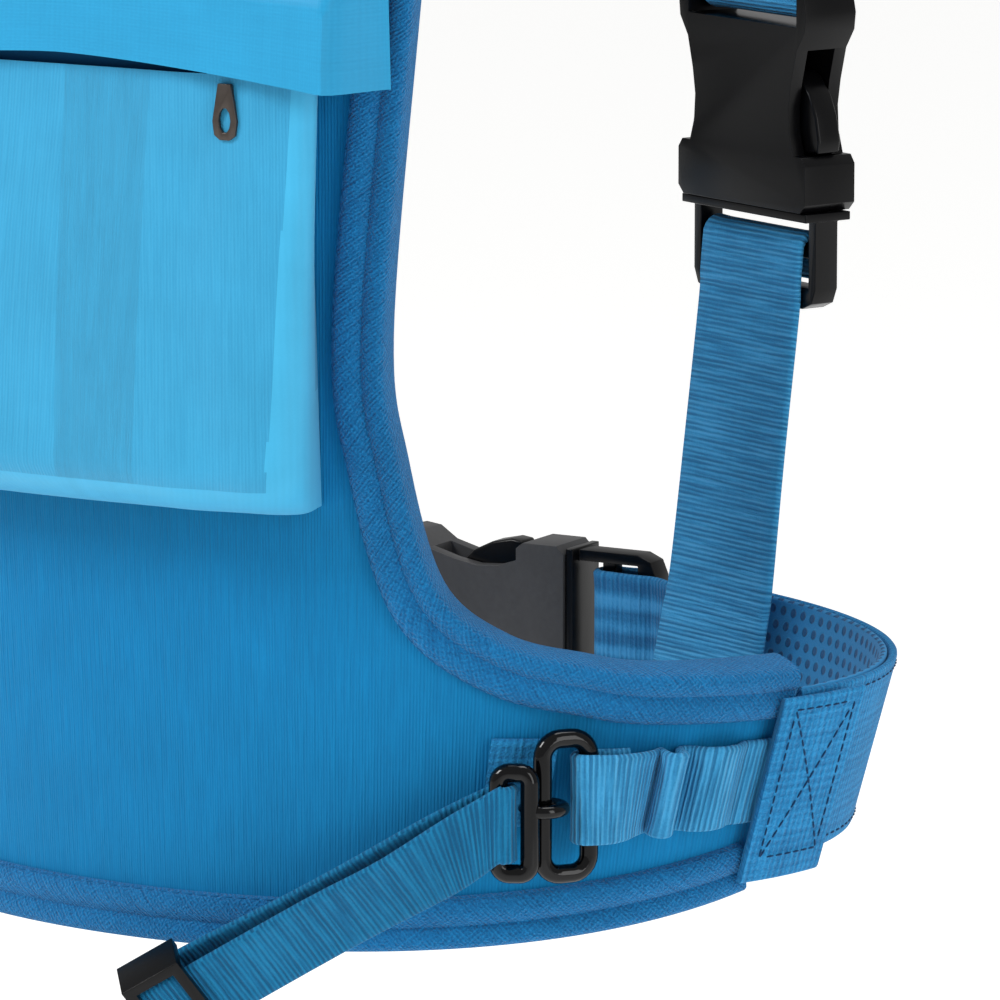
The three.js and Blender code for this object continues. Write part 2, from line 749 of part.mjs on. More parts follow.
// Shoulder straps: a padded part over the shoulder, webbing through the buckle, and webbing to the belt

const footSlack = 0.8;
const footTangent = tangentAt(180 - angleOf(shoulderFootX, 0), 0);
const footTurn = THREE.MathUtils.radToDeg(Math.atan2(Math.abs(footTangent.y), Math.abs(footTangent.x)));
// The flat web is still turned with the buckle where it comes down, and the belt curves away from it, so
// its inner edge needs room behind the waist webbing.
const footBow = (wideWeb / 2) ** 2 / (2 * waistHalfWidth);
const footLag = (wideWeb / 2) * Math.sin(radians(Math.abs(shoulderTurn + footTurn)));
const footRoom = footSlack + footBow + footLag;
const footOffset = layerOffset - webThickness - clearance - footRoom;
const footLow = -beltTop + 4;

function shoulder(side, name) {
  const turn = side * shoulderTurn;
  const origin = new THREE.Vector3(side * shoulderBuckleX, shoulderBuckleY, shoulderMouth);
  const matrix = frame(origin, level(turn), upward);
  const latchNames = side > 0 ? ['outer', 'inner'] : ['inner', 'outer'];
  buckle(`shoulder_${name}`, matrix, latchNames);

  const footAngle = side * (180 - angleOf(shoulderFootX, 0));
  const foot = (z, extra) => around(footAngle, z, footOffset - extra);
  const lower = maleWebPoints(matrix);
  const hanging = lower.at(-1).clone().lerp(foot(beltTop + 2, 0), 0.5);
  lower.push(hanging, foot(beltTop + 4, 0), foot(beltTop - 6, 0), foot(0, 0), foot(footLow, 0));
  const footAcross = tangentAt(footAngle, 0).multiplyScalar(-1);
  const buckleAcross = level(turn);
  const lowerAcross = (i) => buckleAcross.clone().lerp(footAcross, Math.max(0, i - lower.length + 5) / 4);
  part(vest, `shoulder_web_lower_${name}`, strap(lower, lowerAcross, wideWeb), 'webbing');

  const upper = [
    inFrame(matrix, femaleLength + webRise, femaleWrap), inFrame(matrix, femaleBarY + 2, femaleWrap),
    ...roundBar(matrix, femaleBarY, femaleWrap, 90, 270),
    inFrame(matrix, femaleBarY + 2, -femaleWrap), inFrame(matrix, femaleLength + webRise, -femaleWrap),
  ];
  part(vest, `shoulder_web_upper_${name}`, strap(upper, () => buckleAcross, wideWeb), 'webbing');

  const padZ = femaleWrap + webThickness / 2 + clearance + padThickness / 2 + 1;
  const padLow = inFrame(matrix, femaleLength + 3, padZ);
  const padUp = inFrame(matrix, femaleLength + webRise + 6, padZ + 2);
  const bibTopX = shoulderOuter - shoulderWidth / 2;
  const bibTopAngle = side * angleOf(bibTopX, shoulderHeight);
  const bibTop = around(bibTopAngle, shoulderHeight + 2, (foamOuter + foamInner) / 2);
  const curve = new THREE.CatmullRomCurve3([
    bibTop, bibTop.clone().add(new THREE.Vector3(-side * 1, 12, 15)),
    new THREE.Vector3(side * (bibTopX + 2), -18, shoulderPeak - 4),
    new THREE.Vector3(side * (bibTopX + 4), 12, shoulderPeak),
    new THREE.Vector3(side * (bibTopX + 5), 44, shoulderPeak - 16),
    new THREE.Vector3(side * (bibTopX + 5), 68, shoulderPeak - 47), padUp, padLow,
  ]);
  const padSteps = 20;
  const padPoints = curve.getPoints(padSteps);
  const frontAcross = tangentAt(bibTopAngle, shoulderHeight);
  const padAcross = (i) => frontAcross.clone().lerp(buckleAcross, i / padSteps);
  part(vest, `shoulder_pad_${name}`, strap(padPoints, padAcross, padWidth, padThickness), 'knit');
}

shoulder(1, 'right');
shoulder(-1, 'left');

// Side webbing: an anchor square, a daisy chain of loops and a ring in the last loop

function sidePoint(distance, offset, z) {
  return around(angleAfter(patchStart, -distance), z, offset);
}

const flat = clearance + webThickness / 2;
const wrapRing = rodRadius + clearance + webThickness / 2;
const barAngle = angleAfter(patchStart, -ringBarDistance);
const barOut = outwardsAt(barAngle, ringCentreHeight);
const barForward = tangentAt(barAngle, ringCentreHeight).multiplyScalar(-1);
const ringBar = around(barAngle, ringCentreHeight, ringBarOffset);
const daisyInner = [
  [ringBarDistance - 9, 1.8], [ringBarDistance - 7, 1.8], [ringBarDistance - 5.5, 2],
];
const daisyOuter = [
  [ringBarDistance - 4, 7.8], [ringBarDistance - 8, 6], [ringBarDistance - 11.5, 3],
  [ringBarDistance - 14, 0.3], [24, 0.2], [23.6, 5.5], [22, 7], [20.4, 5.5], [20, 0.2], [17, 0.2],
  [14.5, 2.6], [11, 3.6], [7.5, 2.4], [5, 0.2], [2, 0.4], [-1.5, 0.2],
];
const daisyRoundBar = arc(ringBar.clone().setZ(daisyCentreHeight), barForward, barOut, wrapRing, -75, 75, 8);
const daisyPoints = [
  ...daisyInner.map(([distance, lift]) => sidePoint(distance, flat + lift, daisyCentreHeight)),
  ...daisyRoundBar,
  ...daisyOuter.map(([distance, lift]) => sidePoint(distance, flat + lift, daisyCentreHeight)),
];
const daisyUpright = daisyInner.length + daisyRoundBar.length;
const daisyAcross = (i) => {
  const [distance] = daisyOuter[Math.max(0, i - daisyUpright)];
  const lean = riseAt(angleAfter(patchStart, -distance), daisyCentreHeight);
  return upward.clone().lerp(lean, THREE.MathUtils.clamp((i - daisyUpright + 1) / 3, 0, 1));
};
pair('daisy_webbing', strap(daisyPoints, daisyAcross, ringWeb), 'webbing');

const squareAngle = angleAfter(barAngle, -15);
pair('anchor_square', band(angleAfter(squareAngle, -7), angleAfter(squareAngle, 7),
  daisyCentreHeight + 2.5 - ringWeb / 2, daisyCentreHeight + 2.5 + ringWeb / 2,
  clearance, clearance + webThickness, 5), 'knit');

const ringOut = barForward.clone().multiplyScalar(Math.cos(radians(ringTilt)))
  .addScaledVector(barOut, Math.sin(radians(ringTilt)));
const ringReach = ringWidth - 2 * rodRadius;
const ringGeometry = rodLoop(ringWidth, ringHeight, 4, rodRadius)
  .translate(ringReach / 2, 0, 0)
  .applyMatrix4(frame(ringBar, ringOut, upward));
pair('side_ring', ringGeometry, 'rod');

// Hook: an eye for the strap, and a curved hook round the ring that a wire gate closes. Its origin is
// on the eye's leg that the strap goes round, X runs towards the ring and Y along the leg.

const eyeReach = eyeWidth - 2 * rodRadius;
const hookRadius = 4.5;
const hookRod = 1.5;
const gateRod = 0.8;
const hookCentre = new THREE.Vector3(eyeReach + 2.4, 2.5, -4.3);
const alongX = new THREE.Vector3(1, 0, 0);
const alongZ = new THREE.Vector3(0, 0, 1);
const legDirection = 118;

function hookGeometry() {
  const eye = rodLoop(eyeWidth, eyeHeight, rodRadius + 0.1, rodRadius).translate(eyeReach / 2, 0, 0);
  const curve = arc(hookCentre, alongX, alongZ, hookRadius, legDirection, legDirection - 235, 10);
  return combine(eye, [rod(curve, hookRod, 15)], []);
}

function gateGeometry() {
  const curve = arc(hookCentre, alongX, alongZ, hookRadius, legDirection - 264, legDirection - 322, 5);
  return rod(curve, gateRod, 8);
}

function hook(name, matrix) {
  const group = placedGroup(matrix);
  part(group, `${name}_hook`, hookGeometry(), 'rod');
  part(group, `${name}_hook_gate`, gateGeometry(), 'rod');
}

const ringLeg = ringBar.clone().addScaledVector(ringOut, ringReach);
const nearX = level(tetherTurn - 180);
const nearFrame = frame(new THREE.Vector3(), nearX, upward);
const eyeLeg = ringLeg.clone().sub(hookCentre.clone().applyMatrix4(nearFrame));
nearFrame.setPosition(eyeLeg);
hook('near', nearFrame);

const wrapEye = rodRadius + clearance + webThickness / 2;
const squareUp = 24;

// Strap: its own directions are along it, across it and square to it, away from the wearer.

const strapAlong = level(tetherTurn).multiplyScalar(Math.cos(radians(tetherSlope)))
  .addScaledVector(upward, -Math.sin(radians(tetherSlope)));
const facing = level(tetherTurn + 90);
const steep = facing.clone().cross(strapAlong).multiplyScalar(-1);
const strapAcross = steep.clone().multiplyScalar(Math.cos(radians(tetherRoll)))
  .addScaledVector(facing, Math.sin(radians(tetherRoll)));
const strapOut = strapAlong.clone().cross(strapAcross).multiplyScalar(-1);

// Out from the strap turns from level at the eye to square to the strap further along.
function strapPoint(distance, out) {
  const outwards = facing.clone().lerp(strapOut, THREE.MathUtils.clamp(distance / squareUp, 0, 1));
  return eyeLeg.clone().addScaledVector(strapAlong, distance).addScaledVector(outwards.normalize(), out);
}

function eyeArc(from, to, steps) {
  return arc(eyeLeg, level(tetherTurn), facing, wrapEye, from, to, steps);
}

const glideRod = 1.2;
const wrapGlide = glideRod * Math.SQRT2 + clearance + webThickness / 2;
const frontOut = 1.3;
const glideBarOut = frontOut - webThickness - clearance - wrapGlide;

// Near the eye the webbing's width turns from the upright leg to its own direction.
function acrossAt(distance) {
  return upward.clone().lerp(strapAcross, THREE.MathUtils.clamp(distance / squareUp, 0, 1));
}

function tetherPiece(name, wrapPoints, plan) {
  const points = [...wrapPoints, ...plan.map(([distance, out]) => strapPoint(distance, out))];
  const distanceAt = (i) => (i < wrapPoints.length ? 0 : plan[i - wrapPoints.length][0]);
  part(vest, name, strap(points, (i) => acrossAt(distanceAt(i)), tetherWeb), 'webbing');
}

function planArc(distance, out, radius, from, to, steps) {
  return Array.from({ length: steps + 1 }, (_, i) => {
    const angle = radians(THREE.MathUtils.lerp(from, to, i / steps));
    return [distance + radius * Math.cos(angle), out + radius * Math.sin(angle)];
  });
}

const farReturn = 30;
tetherPiece('tether_strap', eyeArc(178, 90, 5), [
  [6, 3.1], [squareUp, 2.4], [45, frontOut], [80, frontOut], [tetherLength - farReturn - 4, frontOut],
  [tetherLength - 10, wrapEye - 0.6],
  ...planArc(tetherLength, 0, wrapEye, 80, -80, 8),
  [tetherLength - 8, -2.2], [tetherLength - farReturn / 2, frontOut - webThickness - 2 * clearance],
  [tetherLength - farReturn, frontOut - webThickness - 2 * clearance],
]);
tetherPiece('tether_back_layer', eyeArc(192, 270, 5), [
  [6, -3.2], [squareUp, -3.2], [45, -3.6], [sliderPlace - 12, glideBarOut - wrapGlide + 0.6],
  ...planArc(sliderPlace, glideBarOut, wrapGlide, -100, 80, 8),
  [sliderPlace - 6, frontOut - webThickness - clearance],
]);

// Three-bar slide: two bars in front of the strap and one behind it, between two side rails
const glideFrame = frame(strapPoint(sliderPlace, 0), strapAlong, strapAcross);
const glideSide = new THREE.Vector3().crossVectors(strapAlong, strapAcross).dot(strapOut);
const glideFront = frontOut + webThickness / 2 + clearance + glideRod;
const railThickness = 2.4;
const railSpan = glideWidth - railThickness;
const glideHeight = glideFront - glideBarOut + 2 * glideRod;
const glideBlock = (x, z) => block(2 * glideRod, glideWidth - 1, 2 * glideRod, x, 0, glideSide * z);
const rails = [1, -1].map((side) => block(glideLength, railThickness, glideHeight,
  0, (side * railSpan) / 2, (glideSide * (glideFront + glideBarOut)) / 2));
const endBar = glideLength / 2 - glideRod;
part(placedGroup(glideFrame), 'tri_glide', combine(rails[0], [
  rails[1], glideBlock(endBar, glideFront), glideBlock(-endBar, glideFront), glideBlock(0, glideBarOut),
], []), 'plastic');

const farFrame = frame(strapPoint(tetherLength, 0), strapAlong, strapAcross);
hook('far', farFrame);

export default vest;
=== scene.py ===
import math
import bmesh
import bpy
from mathutils import Matrix, Vector


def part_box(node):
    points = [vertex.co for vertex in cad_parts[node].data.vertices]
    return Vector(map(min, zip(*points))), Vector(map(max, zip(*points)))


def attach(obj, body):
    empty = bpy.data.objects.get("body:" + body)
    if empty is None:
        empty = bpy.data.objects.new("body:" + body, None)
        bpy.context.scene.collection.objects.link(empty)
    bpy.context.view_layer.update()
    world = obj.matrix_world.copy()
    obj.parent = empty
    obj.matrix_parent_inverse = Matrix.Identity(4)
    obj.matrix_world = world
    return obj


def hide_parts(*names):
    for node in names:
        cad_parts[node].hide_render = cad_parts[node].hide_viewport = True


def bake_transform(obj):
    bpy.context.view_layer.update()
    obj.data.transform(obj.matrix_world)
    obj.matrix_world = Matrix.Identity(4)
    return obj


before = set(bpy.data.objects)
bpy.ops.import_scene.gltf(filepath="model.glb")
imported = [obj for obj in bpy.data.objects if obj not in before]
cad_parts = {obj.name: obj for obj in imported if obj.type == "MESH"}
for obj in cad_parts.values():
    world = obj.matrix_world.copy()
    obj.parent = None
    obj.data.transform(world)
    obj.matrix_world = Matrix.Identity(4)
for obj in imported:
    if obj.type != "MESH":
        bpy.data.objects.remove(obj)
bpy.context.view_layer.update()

# ---------------------------------------------------------------- camera
right = Vector((0.8660, 0.5, 0))
forward = Vector((-0.4924, 0.8529, -0.1736))
above = Vector((-0.0868, 0.1504, 0.9848))
camera_data = bpy.data.cameras.new("camera")
camera_data.lens = 263
camera_data.sensor_width = 36
camera_data.clip_end = 20
camera = bpy.data.objects.new("camera", camera_data)
bpy.context.scene.collection.objects.link(camera)
camera.matrix_world = Matrix.Translation(right * 0.0384 + above * 0.0462 - forward * 1.68) @ Matrix(
    (right, above, -forward)).transposed().to_4x4()
bpy.context.scene.camera = camera

# ---------------------------------------------------------------- sizes, as in the solid model
MM = 0.001
BELT_TOP = 20
WING_END = 73
HEM_DROP, HEM_RISE = 36, 12
SHOULDER_Z, SHOULDER_OUTER, SHOULDER_WIDTH, NECK_DEPTH = 262, 86, 42, 47
LINING_INNER = -6
UP = Vector((0, 0, 1))


def half_width(z):
    over = z - BELT_TOP
    return 138 + (0.29 * over if over < 0 else 13 * math.tanh(over / 45))


def half_depth(z):
    return 90 + 0.05 * (z - BELT_TOP) - 0.005 * max(0, z - 185) ** 2


def around(degrees, z, offset=0):
    """The point of the body surface at an angle from the middle of the bib, moved out by an offset."""
    sine, cosine = math.sin(math.radians(degrees)), math.cos(math.radians(degrees))
    a, b = half_width(z), half_depth(z)
    return Vector((a * sine, -b * cosine, z)) + Vector((sine / a, -cosine / b, 0)).normalized() * offset


def outwards_at(degrees, z):
    return around(degrees, z, 1) - around(degrees, z)


def tangent_at(degrees, z):
    return UP.cross(outwards_at(degrees, z))


def rise_at(degrees, z):
    return (around(degrees, z + 1) - around(degrees, z - 1)).normalized()


def square_to(degrees, z):
    return tangent_at(degrees, z).cross(rise_at(degrees, z)).normalized()


def angle_of(x, z):
    return math.degrees(math.asin(max(-1, min(1, x / half_width(z)))))


def angle_after(degrees, distance, z=0):
    step = math.copysign(0.05, distance)
    gone = 0
    while gone < abs(distance):
        gone += (around(degrees + step, z) - around(degrees, z)).length
        degrees += step
    return degrees


def lerp(a, b, t):
    return a + (b - a) * t


def smoothstep(x, low, high):
    t = max(0, min(1, (x - low) / (high - low)))
    return t * t * (3 - 2 * t)


def spline(points, steps):
    """A smooth line through points, with the same number of steps between each two."""
    line = []
    last = len(points) - 1
    for i in range(last):
        p = [points[max(i - 1, 0)], points[i], points[i + 1], points[min(i + 2, last)]]
        for k in range(steps):
            t = k / steps
            bend = (p[2] - p[0]) * 0.5 * (t - 2 * t ** 2 + t ** 3) + (p[3] - p[1]) * 0.5 * (t ** 3 - t ** 2)
            line.append(p[1] * (2 * t ** 3 - 3 * t ** 2 + 1) + p[2] * (3 * t ** 2 - 2 * t ** 3) + bend)
    return line + [points[last]]


# ---------------------------------------------------------------- material building blocks
def linear(red, green, blue):
    def one(c):
        c /= 255
        return c / 12.92 if c <= 0.04045 else ((c + 0.055) / 1.055) ** 2.4
    return (one(red), one(green), one(blue), 1)


class Tree:
    """Short names for adding and joining shader nodes."""

    def __init__(self, tree):
        self.tree = tree

    def add(self, kind, **settings):
        node = self.tree.nodes.new(kind)
        for key, value in settings.items():
            setattr(node, key, value)
        return node

    def join(self, source, target):
        self.tree.links.new(source, target)

    def put(self, value, socket):
        if isinstance(value, bpy.types.NodeSocket):
            self.join(value, socket)
        else:
            socket.default_value = value

    def sum(self, operation, a, b=0.0, c=None):
        node = self.add("ShaderNodeMath", operation=operation)
        self.put(a, node.inputs[0])
        self.put(b, node.inputs[1])
        if c is not None:
            self.put(c, node.inputs[2])
        return node.outputs[0]

    def mix(self, share, a, b, blend="MIX"):
        node = self.add("ShaderNodeMix", data_type="RGBA", blend_type=blend)
        self.put(share, node.inputs[0])
        self.put(a, node.inputs[6])
        self.put(b, node.inputs[7])
        return node.outputs[2]

    def noise(self, vector, scale, detail=2.0):
        node = self.add("ShaderNodeTexNoise")
        self.put(vector, node.inputs["Vector"])
        self.put(scale, node.inputs["Scale"])
        node.inputs["Detail"].default_value = detail
        return node.outputs["Fac"]

    def bump(self, height, strength, distance):
        node = self.add("ShaderNodeBump")
        self.put(height, node.inputs["Height"])
        self.put(strength, node.inputs["Strength"])
        self.put(distance, node.inputs["Distance"])
        return node.outputs[0]


def node_group(name, inputs):
    tree = bpy.data.node_groups.new(name, "ShaderNodeTree")
    for label, kind, value in inputs:
        socket = tree.interface.new_socket(label, in_out="INPUT", socket_type="NodeSocket" + kind)
        if value is not None:
            socket.default_value = value
    tree.interface.new_socket("Colour", in_out="OUTPUT", socket_type="NodeSocketColor")
    tree.interface.new_socket("Normal", in_out="OUTPUT", socket_type="NodeSocketVector")
    t = Tree(tree)
    source, result = t.add("NodeGroupInput"), t.add("NodeGroupOutput")
    return t, source.outputs, result.inputs


# Ribs run along the second coordinate and rows cross them; both spacings are in millimetres.
t, given, result = node_group("woven cloth", [
    ("Vector", "Vector", None), ("Colour", "Color", (0, 0.2, 0.5, 1)), ("Rib spacing", "Float", 1.0),
    ("Row spacing", "Float", 1.0), ("Rib depth", "Float", 0.5), ("Row depth", "Float", 0.3),
    ("Fuzz", "Float", 0.3), ("Shade", "Float", 0.5), ("Relief", "Float", 0.0004)])

def uneven_wave(vector, coordinate, spacing, stretch):
    """A wave across a coordinate, broken up by noise that is long the other way, from 0 to 1."""
    wobble = t.sum("MULTIPLY", t.sum("SUBTRACT", t.noise(vector, 0.22, 3.0), 0.5), 1.6)
    turns = t.sum("MULTIPLY", t.sum("DIVIDE", coordinate, spacing), 2 * math.pi)
    wave = t.sum("MULTIPLY_ADD", t.sum("SINE", t.sum("ADD", turns, wobble)), 0.5, 0.5)
    long = t.add("ShaderNodeVectorMath", operation="MULTIPLY")
    t.join(vector, long.inputs[0])
    long.inputs[1].default_value = stretch
    streak = t.add("ShaderNodeMapRange")
    t.join(t.noise(long.outputs[0], t.sum("DIVIDE", 1.1, spacing), 3.0), streak.inputs["Value"])
    streak.inputs["From Min"].default_value = 0.34
    streak.inputs["From Max"].default_value = 0.66
    return t.sum("ADD", t.sum("MULTIPLY", wave, 0.45), t.sum("MULTIPLY", streak.outputs[0], 0.55))


parts = t.add("ShaderNodeSeparateXYZ")
t.join(given["Vector"], parts.inputs[0])
rib = uneven_wave(given["Vector"], parts.outputs[0], given["Rib spacing"], (1, 0.04, 1))
row = uneven_wave(given["Vector"], parts.outputs[1], given["Row spacing"], (0.05, 1, 1))
rib = t.sum("MULTIPLY", rib, given["Rib depth"])
row = t.sum("MULTIPLY", row, given["Row depth"])
fuzz = t.sum("MULTIPLY", t.noise(given["Vector"], 1.9, 5.0), given["Fuzz"])
height = t.sum("ADD", t.sum("ADD", rib, row), fuzz)
full = t.sum("ADD", t.sum("ADD", given["Rib depth"], given["Row depth"]), given["Fuzz"])
light = t.sum("DIVIDE", height, full)
dark = t.mix(1.0, given["Colour"], (0.16, 0.30, 0.40, 1), "MULTIPLY")
pale = t.mix(1.0, given["Colour"], (2.4, 1.35, 1.25, 1), "MULTIPLY")
shadow = t.add("ShaderNodeMapRange")
t.join(light, shadow.inputs["Value"])
shadow.inputs["From Min"].default_value = 0.62
shadow.inputs["From Max"].default_value = 0.30
glint = t.add("ShaderNodeMapRange")
t.join(light, glint.inputs["Value"])
glint.inputs["From Min"].default_value = 0.52
glint.inputs["From Max"].default_value = 0.85
tone = t.mix(t.sum("MULTIPLY", shadow.outputs[0], given["Shade"]), given["Colour"], dark)
tone = t.mix(t.sum("MULTIPLY", glint.outputs[0], given["Shade"]), tone, pale)
patchy = t.sum("MULTIPLY_ADD", t.noise(given["Vector"], 0.05, 3.0), 0.24, 0.88)
bright = t.add("ShaderNodeHueSaturation")
t.join(patchy, bright.inputs["Value"])
t.join(tone, bright.inputs["Color"])
t.join(bright.outputs[0], result["Colour"])
t.join(t.bump(height, 0.8, given["Relief"]), result["Normal"])
woven_cloth = t.tree

# Rows of small cells, each row shifted by half a cell.
t, given, result = node_group("honeycomb mesh", [
    ("Vector", "Vector", None), ("Colour", "Color", (0, 0.2, 0.5, 1)), ("Cell", "Float", 3.0)])
parts = t.add("ShaderNodeSeparateXYZ")
t.join(given["Vector"], parts.inputs[0])
turns = t.sum("DIVIDE", 2 * math.pi * 1.1547, given["Cell"])
waves = []
for degrees in (0, 60, 120):
    across = t.sum("ADD", t.sum("MULTIPLY", parts.outputs[0], math.cos(math.radians(degrees))),
                   t.sum("MULTIPLY", parts.outputs[1], math.sin(math.radians(degrees))))
    waves.append(t.sum("COSINE", t.sum("MULTIPLY", across, turns)))
cells = t.sum("ADD", t.sum("ADD", waves[0], waves[1]), waves[2])
hole = t.add("ShaderNodeMapRange", interpolation_type="SMOOTHSTEP")
t.join(cells, hole.inputs["Value"])
hole.inputs["From Min"].default_value = 0.2
hole.inputs["From Max"].default_value = 1.7
fuzz = t.noise(given["Vector"], 2.0, 3.0)
# Painted shade: the holes between the cells are darkened towards a dark blue-grey.
hole_shade = t.mix(1.0, given["Colour"], (0.20, 0.28, 0.36, 1), "MULTIPLY")
t.join(t.mix(t.sum("MULTIPLY", hole.outputs[0], 0.85), given["Colour"], hole_shade), result["Colour"])
relief = t.sum("ADD", t.sum("MULTIPLY", hole.outputs[0], -1.0), t.sum("MULTIPLY", fuzz, 0.35))
t.join(t.bump(relief, 0.8, 0.0006), result["Normal"])
honeycomb = t.tree

# Fine grain, fading in and out in broad patches, on moulded or coated pieces.
t, given, result = node_group("moulded grain", [
    ("Vector", "Vector", None), ("Colour", "Color", (0.02, 0.02, 0.02, 1)), ("Grain", "Float", 900.0),
    ("Relief", "Float", 0.00002)])
grain = t.noise(given["Vector"], given["Grain"], 3.0)
broad = t.noise(given["Vector"], 60.0, 2.0)
paler = t.mix(1.0, given["Colour"], (1.7, 1.7, 1.7, 1), "MULTIPLY")
speckle = t.sum("MULTIPLY", grain, t.sum("MULTIPLY_ADD", broad, 0.8, 0.2))
t.join(t.mix(speckle, given["Colour"], paler), result["Colour"])
t.join(t.bump(grain, 0.5, given["Relief"]), result["Normal"])
moulded = t.tree


def material(name, tree, vector, values, roughness, sheen=0.0, metallic=0.0, coat=0.0, turn=0.0,
             specular=0.5):
    made = bpy.data.materials.new(name)
    made.use_nodes = True
    t = Tree(made.node_tree)
    shader = made.node_tree.nodes["Principled BSDF"]
    group = t.add("ShaderNodeGroup", node_tree=tree)
    place = t.add("ShaderNodeUVMap", uv_map="cloth") if vector == "UV" else t.add("ShaderNodeTexCoord")
    turned = t.add("ShaderNodeMapping")
    turned.inputs["Rotation"].default_value = (0, 0, math.radians(turn))
    t.join(place.outputs["UV" if vector == "UV" else "Object"], turned.inputs[0])
    t.join(turned.outputs[0], group.inputs["Vector"])
    for key, value in values.items():
        group.inputs[key].default_value = value
    t.join(group.outputs["Colour"], shader.inputs["Base Color"])
    t.join(group.outputs["Normal"], shader.inputs["Normal"])
    shader.inputs["Roughness"].default_value = roughness
    shader.inputs["Metallic"].default_value = metallic
    shader.inputs["Specular IOR Level"].default_value = specular
    shader.inputs["Sheen Weight"].default_value = sheen
    shader.inputs["Sheen Roughness"].default_value = 0.5
    shader.inputs["Coat Weight"].default_value = coat
    shader.inputs["Coat Roughness"].default_value = 0.08
    made.diffuse_color = values["Colour"]
    return made


def cloth(name, colour, ribs, rows, rib_depth, row_depth, fuzz, shade, relief, roughness=0.85, sheen=0.06, turn=0.0):
    return material(name, woven_cloth, "UV", {
        "Colour": linear(*colour), "Rib spacing": ribs, "Row spacing": rows, "Rib depth": rib_depth,
        "Row depth": row_depth, "Fuzz": fuzz, "Shade": shade, "Relief": relief}, roughness, sheen, turn=turn,
        specular=0.15)


cover_cloth = cloth("ribbed cover", (4, 112, 164), 0.75, 1.3, 1.0, 0.05, 0.25, 0.16, 0.00020)
binding_cloth = cloth("knit binding", (16, 118, 178), 1.0, 0.8, 0.25, 0.45, 1.5, 0.75, 0.0010, 0.95, 0.1, turn=38)
pocket_satin = cloth("pocket satin", (50, 146, 188), 0.8, 9.0, 0.55, 0.05, 0.35, 0.12, 0.00018, 0.5, 0.1)
# The gusset satin is a lighter copy of the pocket satin: a painted highlight on the gusset sides and the bottom
# strip.
lit_gusset_satin = cloth("gusset satin painted highlight", (62, 164, 206), 1.6, 7.0, 0.20, 0.05, 0.30, 0.06, 0.00010, 0.45, 0.1)
flap_satin = cloth("flap satin", (34, 142, 188), 0.8, 0.8, 0.20, 0.20, 0.40, 0.10, 0.00010, 0.5, 0.1)
webbing_cloth = cloth("webbing", (52, 140, 188), 3.0, 1.1, 0.05, 1.0, 0.30, 0.6, 0.0008)
buckle_webbing = cloth("elastic webbing", (40, 118, 166), 6.2, 1.3, 1.0, 0.45, 0.4, 0.8, 0.0010)
strap_webbing = cloth("strap webbing", (14, 106, 150), 3.4, 1.1, 0.05, 1.0, 0.30, 0.6, 0.0008)
knit_cloth = cloth("ribbed knit", (32, 130, 186), 1.9, 1.5, 0.35, 0.5, 0.9, 0.7, 0.0009)
pad_cloth = cloth("pad knit", (24, 118, 174), 1.6, 1.6, 0.4, 0.4, 0.7, 0.6, 0.0007)
tape_cloth = cloth("zip tape", (8, 78, 122), 0.9, 0.9, 0.4, 0.4, 0.4, 0.4, 0.0003)
thread = cloth("thread", (4, 50, 88), 0.5, 0.5, 0.3, 0.5, 0.3, 0.2, 0.0002, 0.7)
soft_thread = cloth("soft thread", (12, 92, 142), 0.5, 0.5, 0.3, 0.5, 0.3, 0.2, 0.0002, 0.8)
pale_thread = cloth("pale thread", (24, 130, 184), 0.5, 0.5, 0.3, 0.5, 0.3, 0.2, 0.0002, 0.7)
mesh_cloth = material("honeycomb lining", honeycomb, "UV",
                      {"Colour": linear(30, 126, 180), "Cell": 4.0}, 0.9, 0.05)
plastic = material("black plastic", moulded, "Object",
                   {"Colour": linear(4, 4, 5), "Grain": 1500.0, "Relief": 0.00002}, 0.28, specular=0.16)
grey_plastic = material("grey plate plastic", moulded, "Object",
                        {"Colour": linear(48, 48, 49), "Grain": 700.0, "Relief": 0.00004}, 0.4,
                        specular=0.2)
rod_coat = material("glossy black coat", moulded, "Object",
                    {"Colour": linear(3, 3, 4), "Grain": 600.0, "Relief": 0.000004}, 0.1, coat=0.25,
                    specular=0.12)
pull_paint = material("dark zip metal", moulded, "Object",
                      {"Colour": linear(58, 52, 48), "Grain": 900.0, "Relief": 0.00001}, 0.35, metallic=0.6)


# ---------------------------------------------------------------- mesh building blocks
def finish_mesh(name, bm, materials, body="vest", smooth=40, replaced=()):
    name = name.replace(" ", "_")
    mesh = bpy.data.meshes.new(name)
    bm.to_mesh(mesh)
    bm.free()
    for m in materials:
        mesh.materials.append(m)
    obj = bpy.data.objects.new(name, mesh)
    bpy.context.scene.collection.objects.link(obj)
    mesh.shade_smooth()
    mesh.set_sharp_from_angle(angle=math.radians(smooth))
    if body:
        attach(obj, body)
    if replaced:
        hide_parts(*replaced)
    return obj


def surface(columns, rows, place, cloth_at, closed=False, caps=False, thickness=0.0):
    """A grid whose vertices go to place(u, v) in millimetres; cloth_at(u, v) is the cloth's own flat place."""
    bm = bmesh.new()
    bmesh.ops.create_grid(bm, x_segments=columns, y_segments=rows, size=0.5)
    layer = bm.loops.layers.uv.new("cloth")
    for face in bm.faces:
        for loop in face.loops:
            loop[layer].uv = cloth_at(loop.vert.co.x + 0.5, loop.vert.co.y + 0.5)
    for vert in bm.verts:
        vert.co = place(vert.co.x + 0.5, vert.co.y + 0.5) * MM
    if closed:
        bmesh.ops.remove_doubles(bm, verts=bm.verts, dist=1e-6)
    if caps:
        made = bmesh.ops.holes_fill(bm, edges=[e for e in bm.edges if e.is_boundary], sides=0)
        for face in made["faces"]:
            for loop in face.loops:
                loop[layer].uv = loop.vert.link_loops[0][layer].uv
    bmesh.ops.recalc_face_normals(bm, faces=bm.faces)
    if thickness:
        bmesh.ops.solidify(bm, geom=bm.faces[:], thickness=thickness * MM)
        bmesh.ops.recalc_face_normals(bm, faces=bm.faces)
    return bm


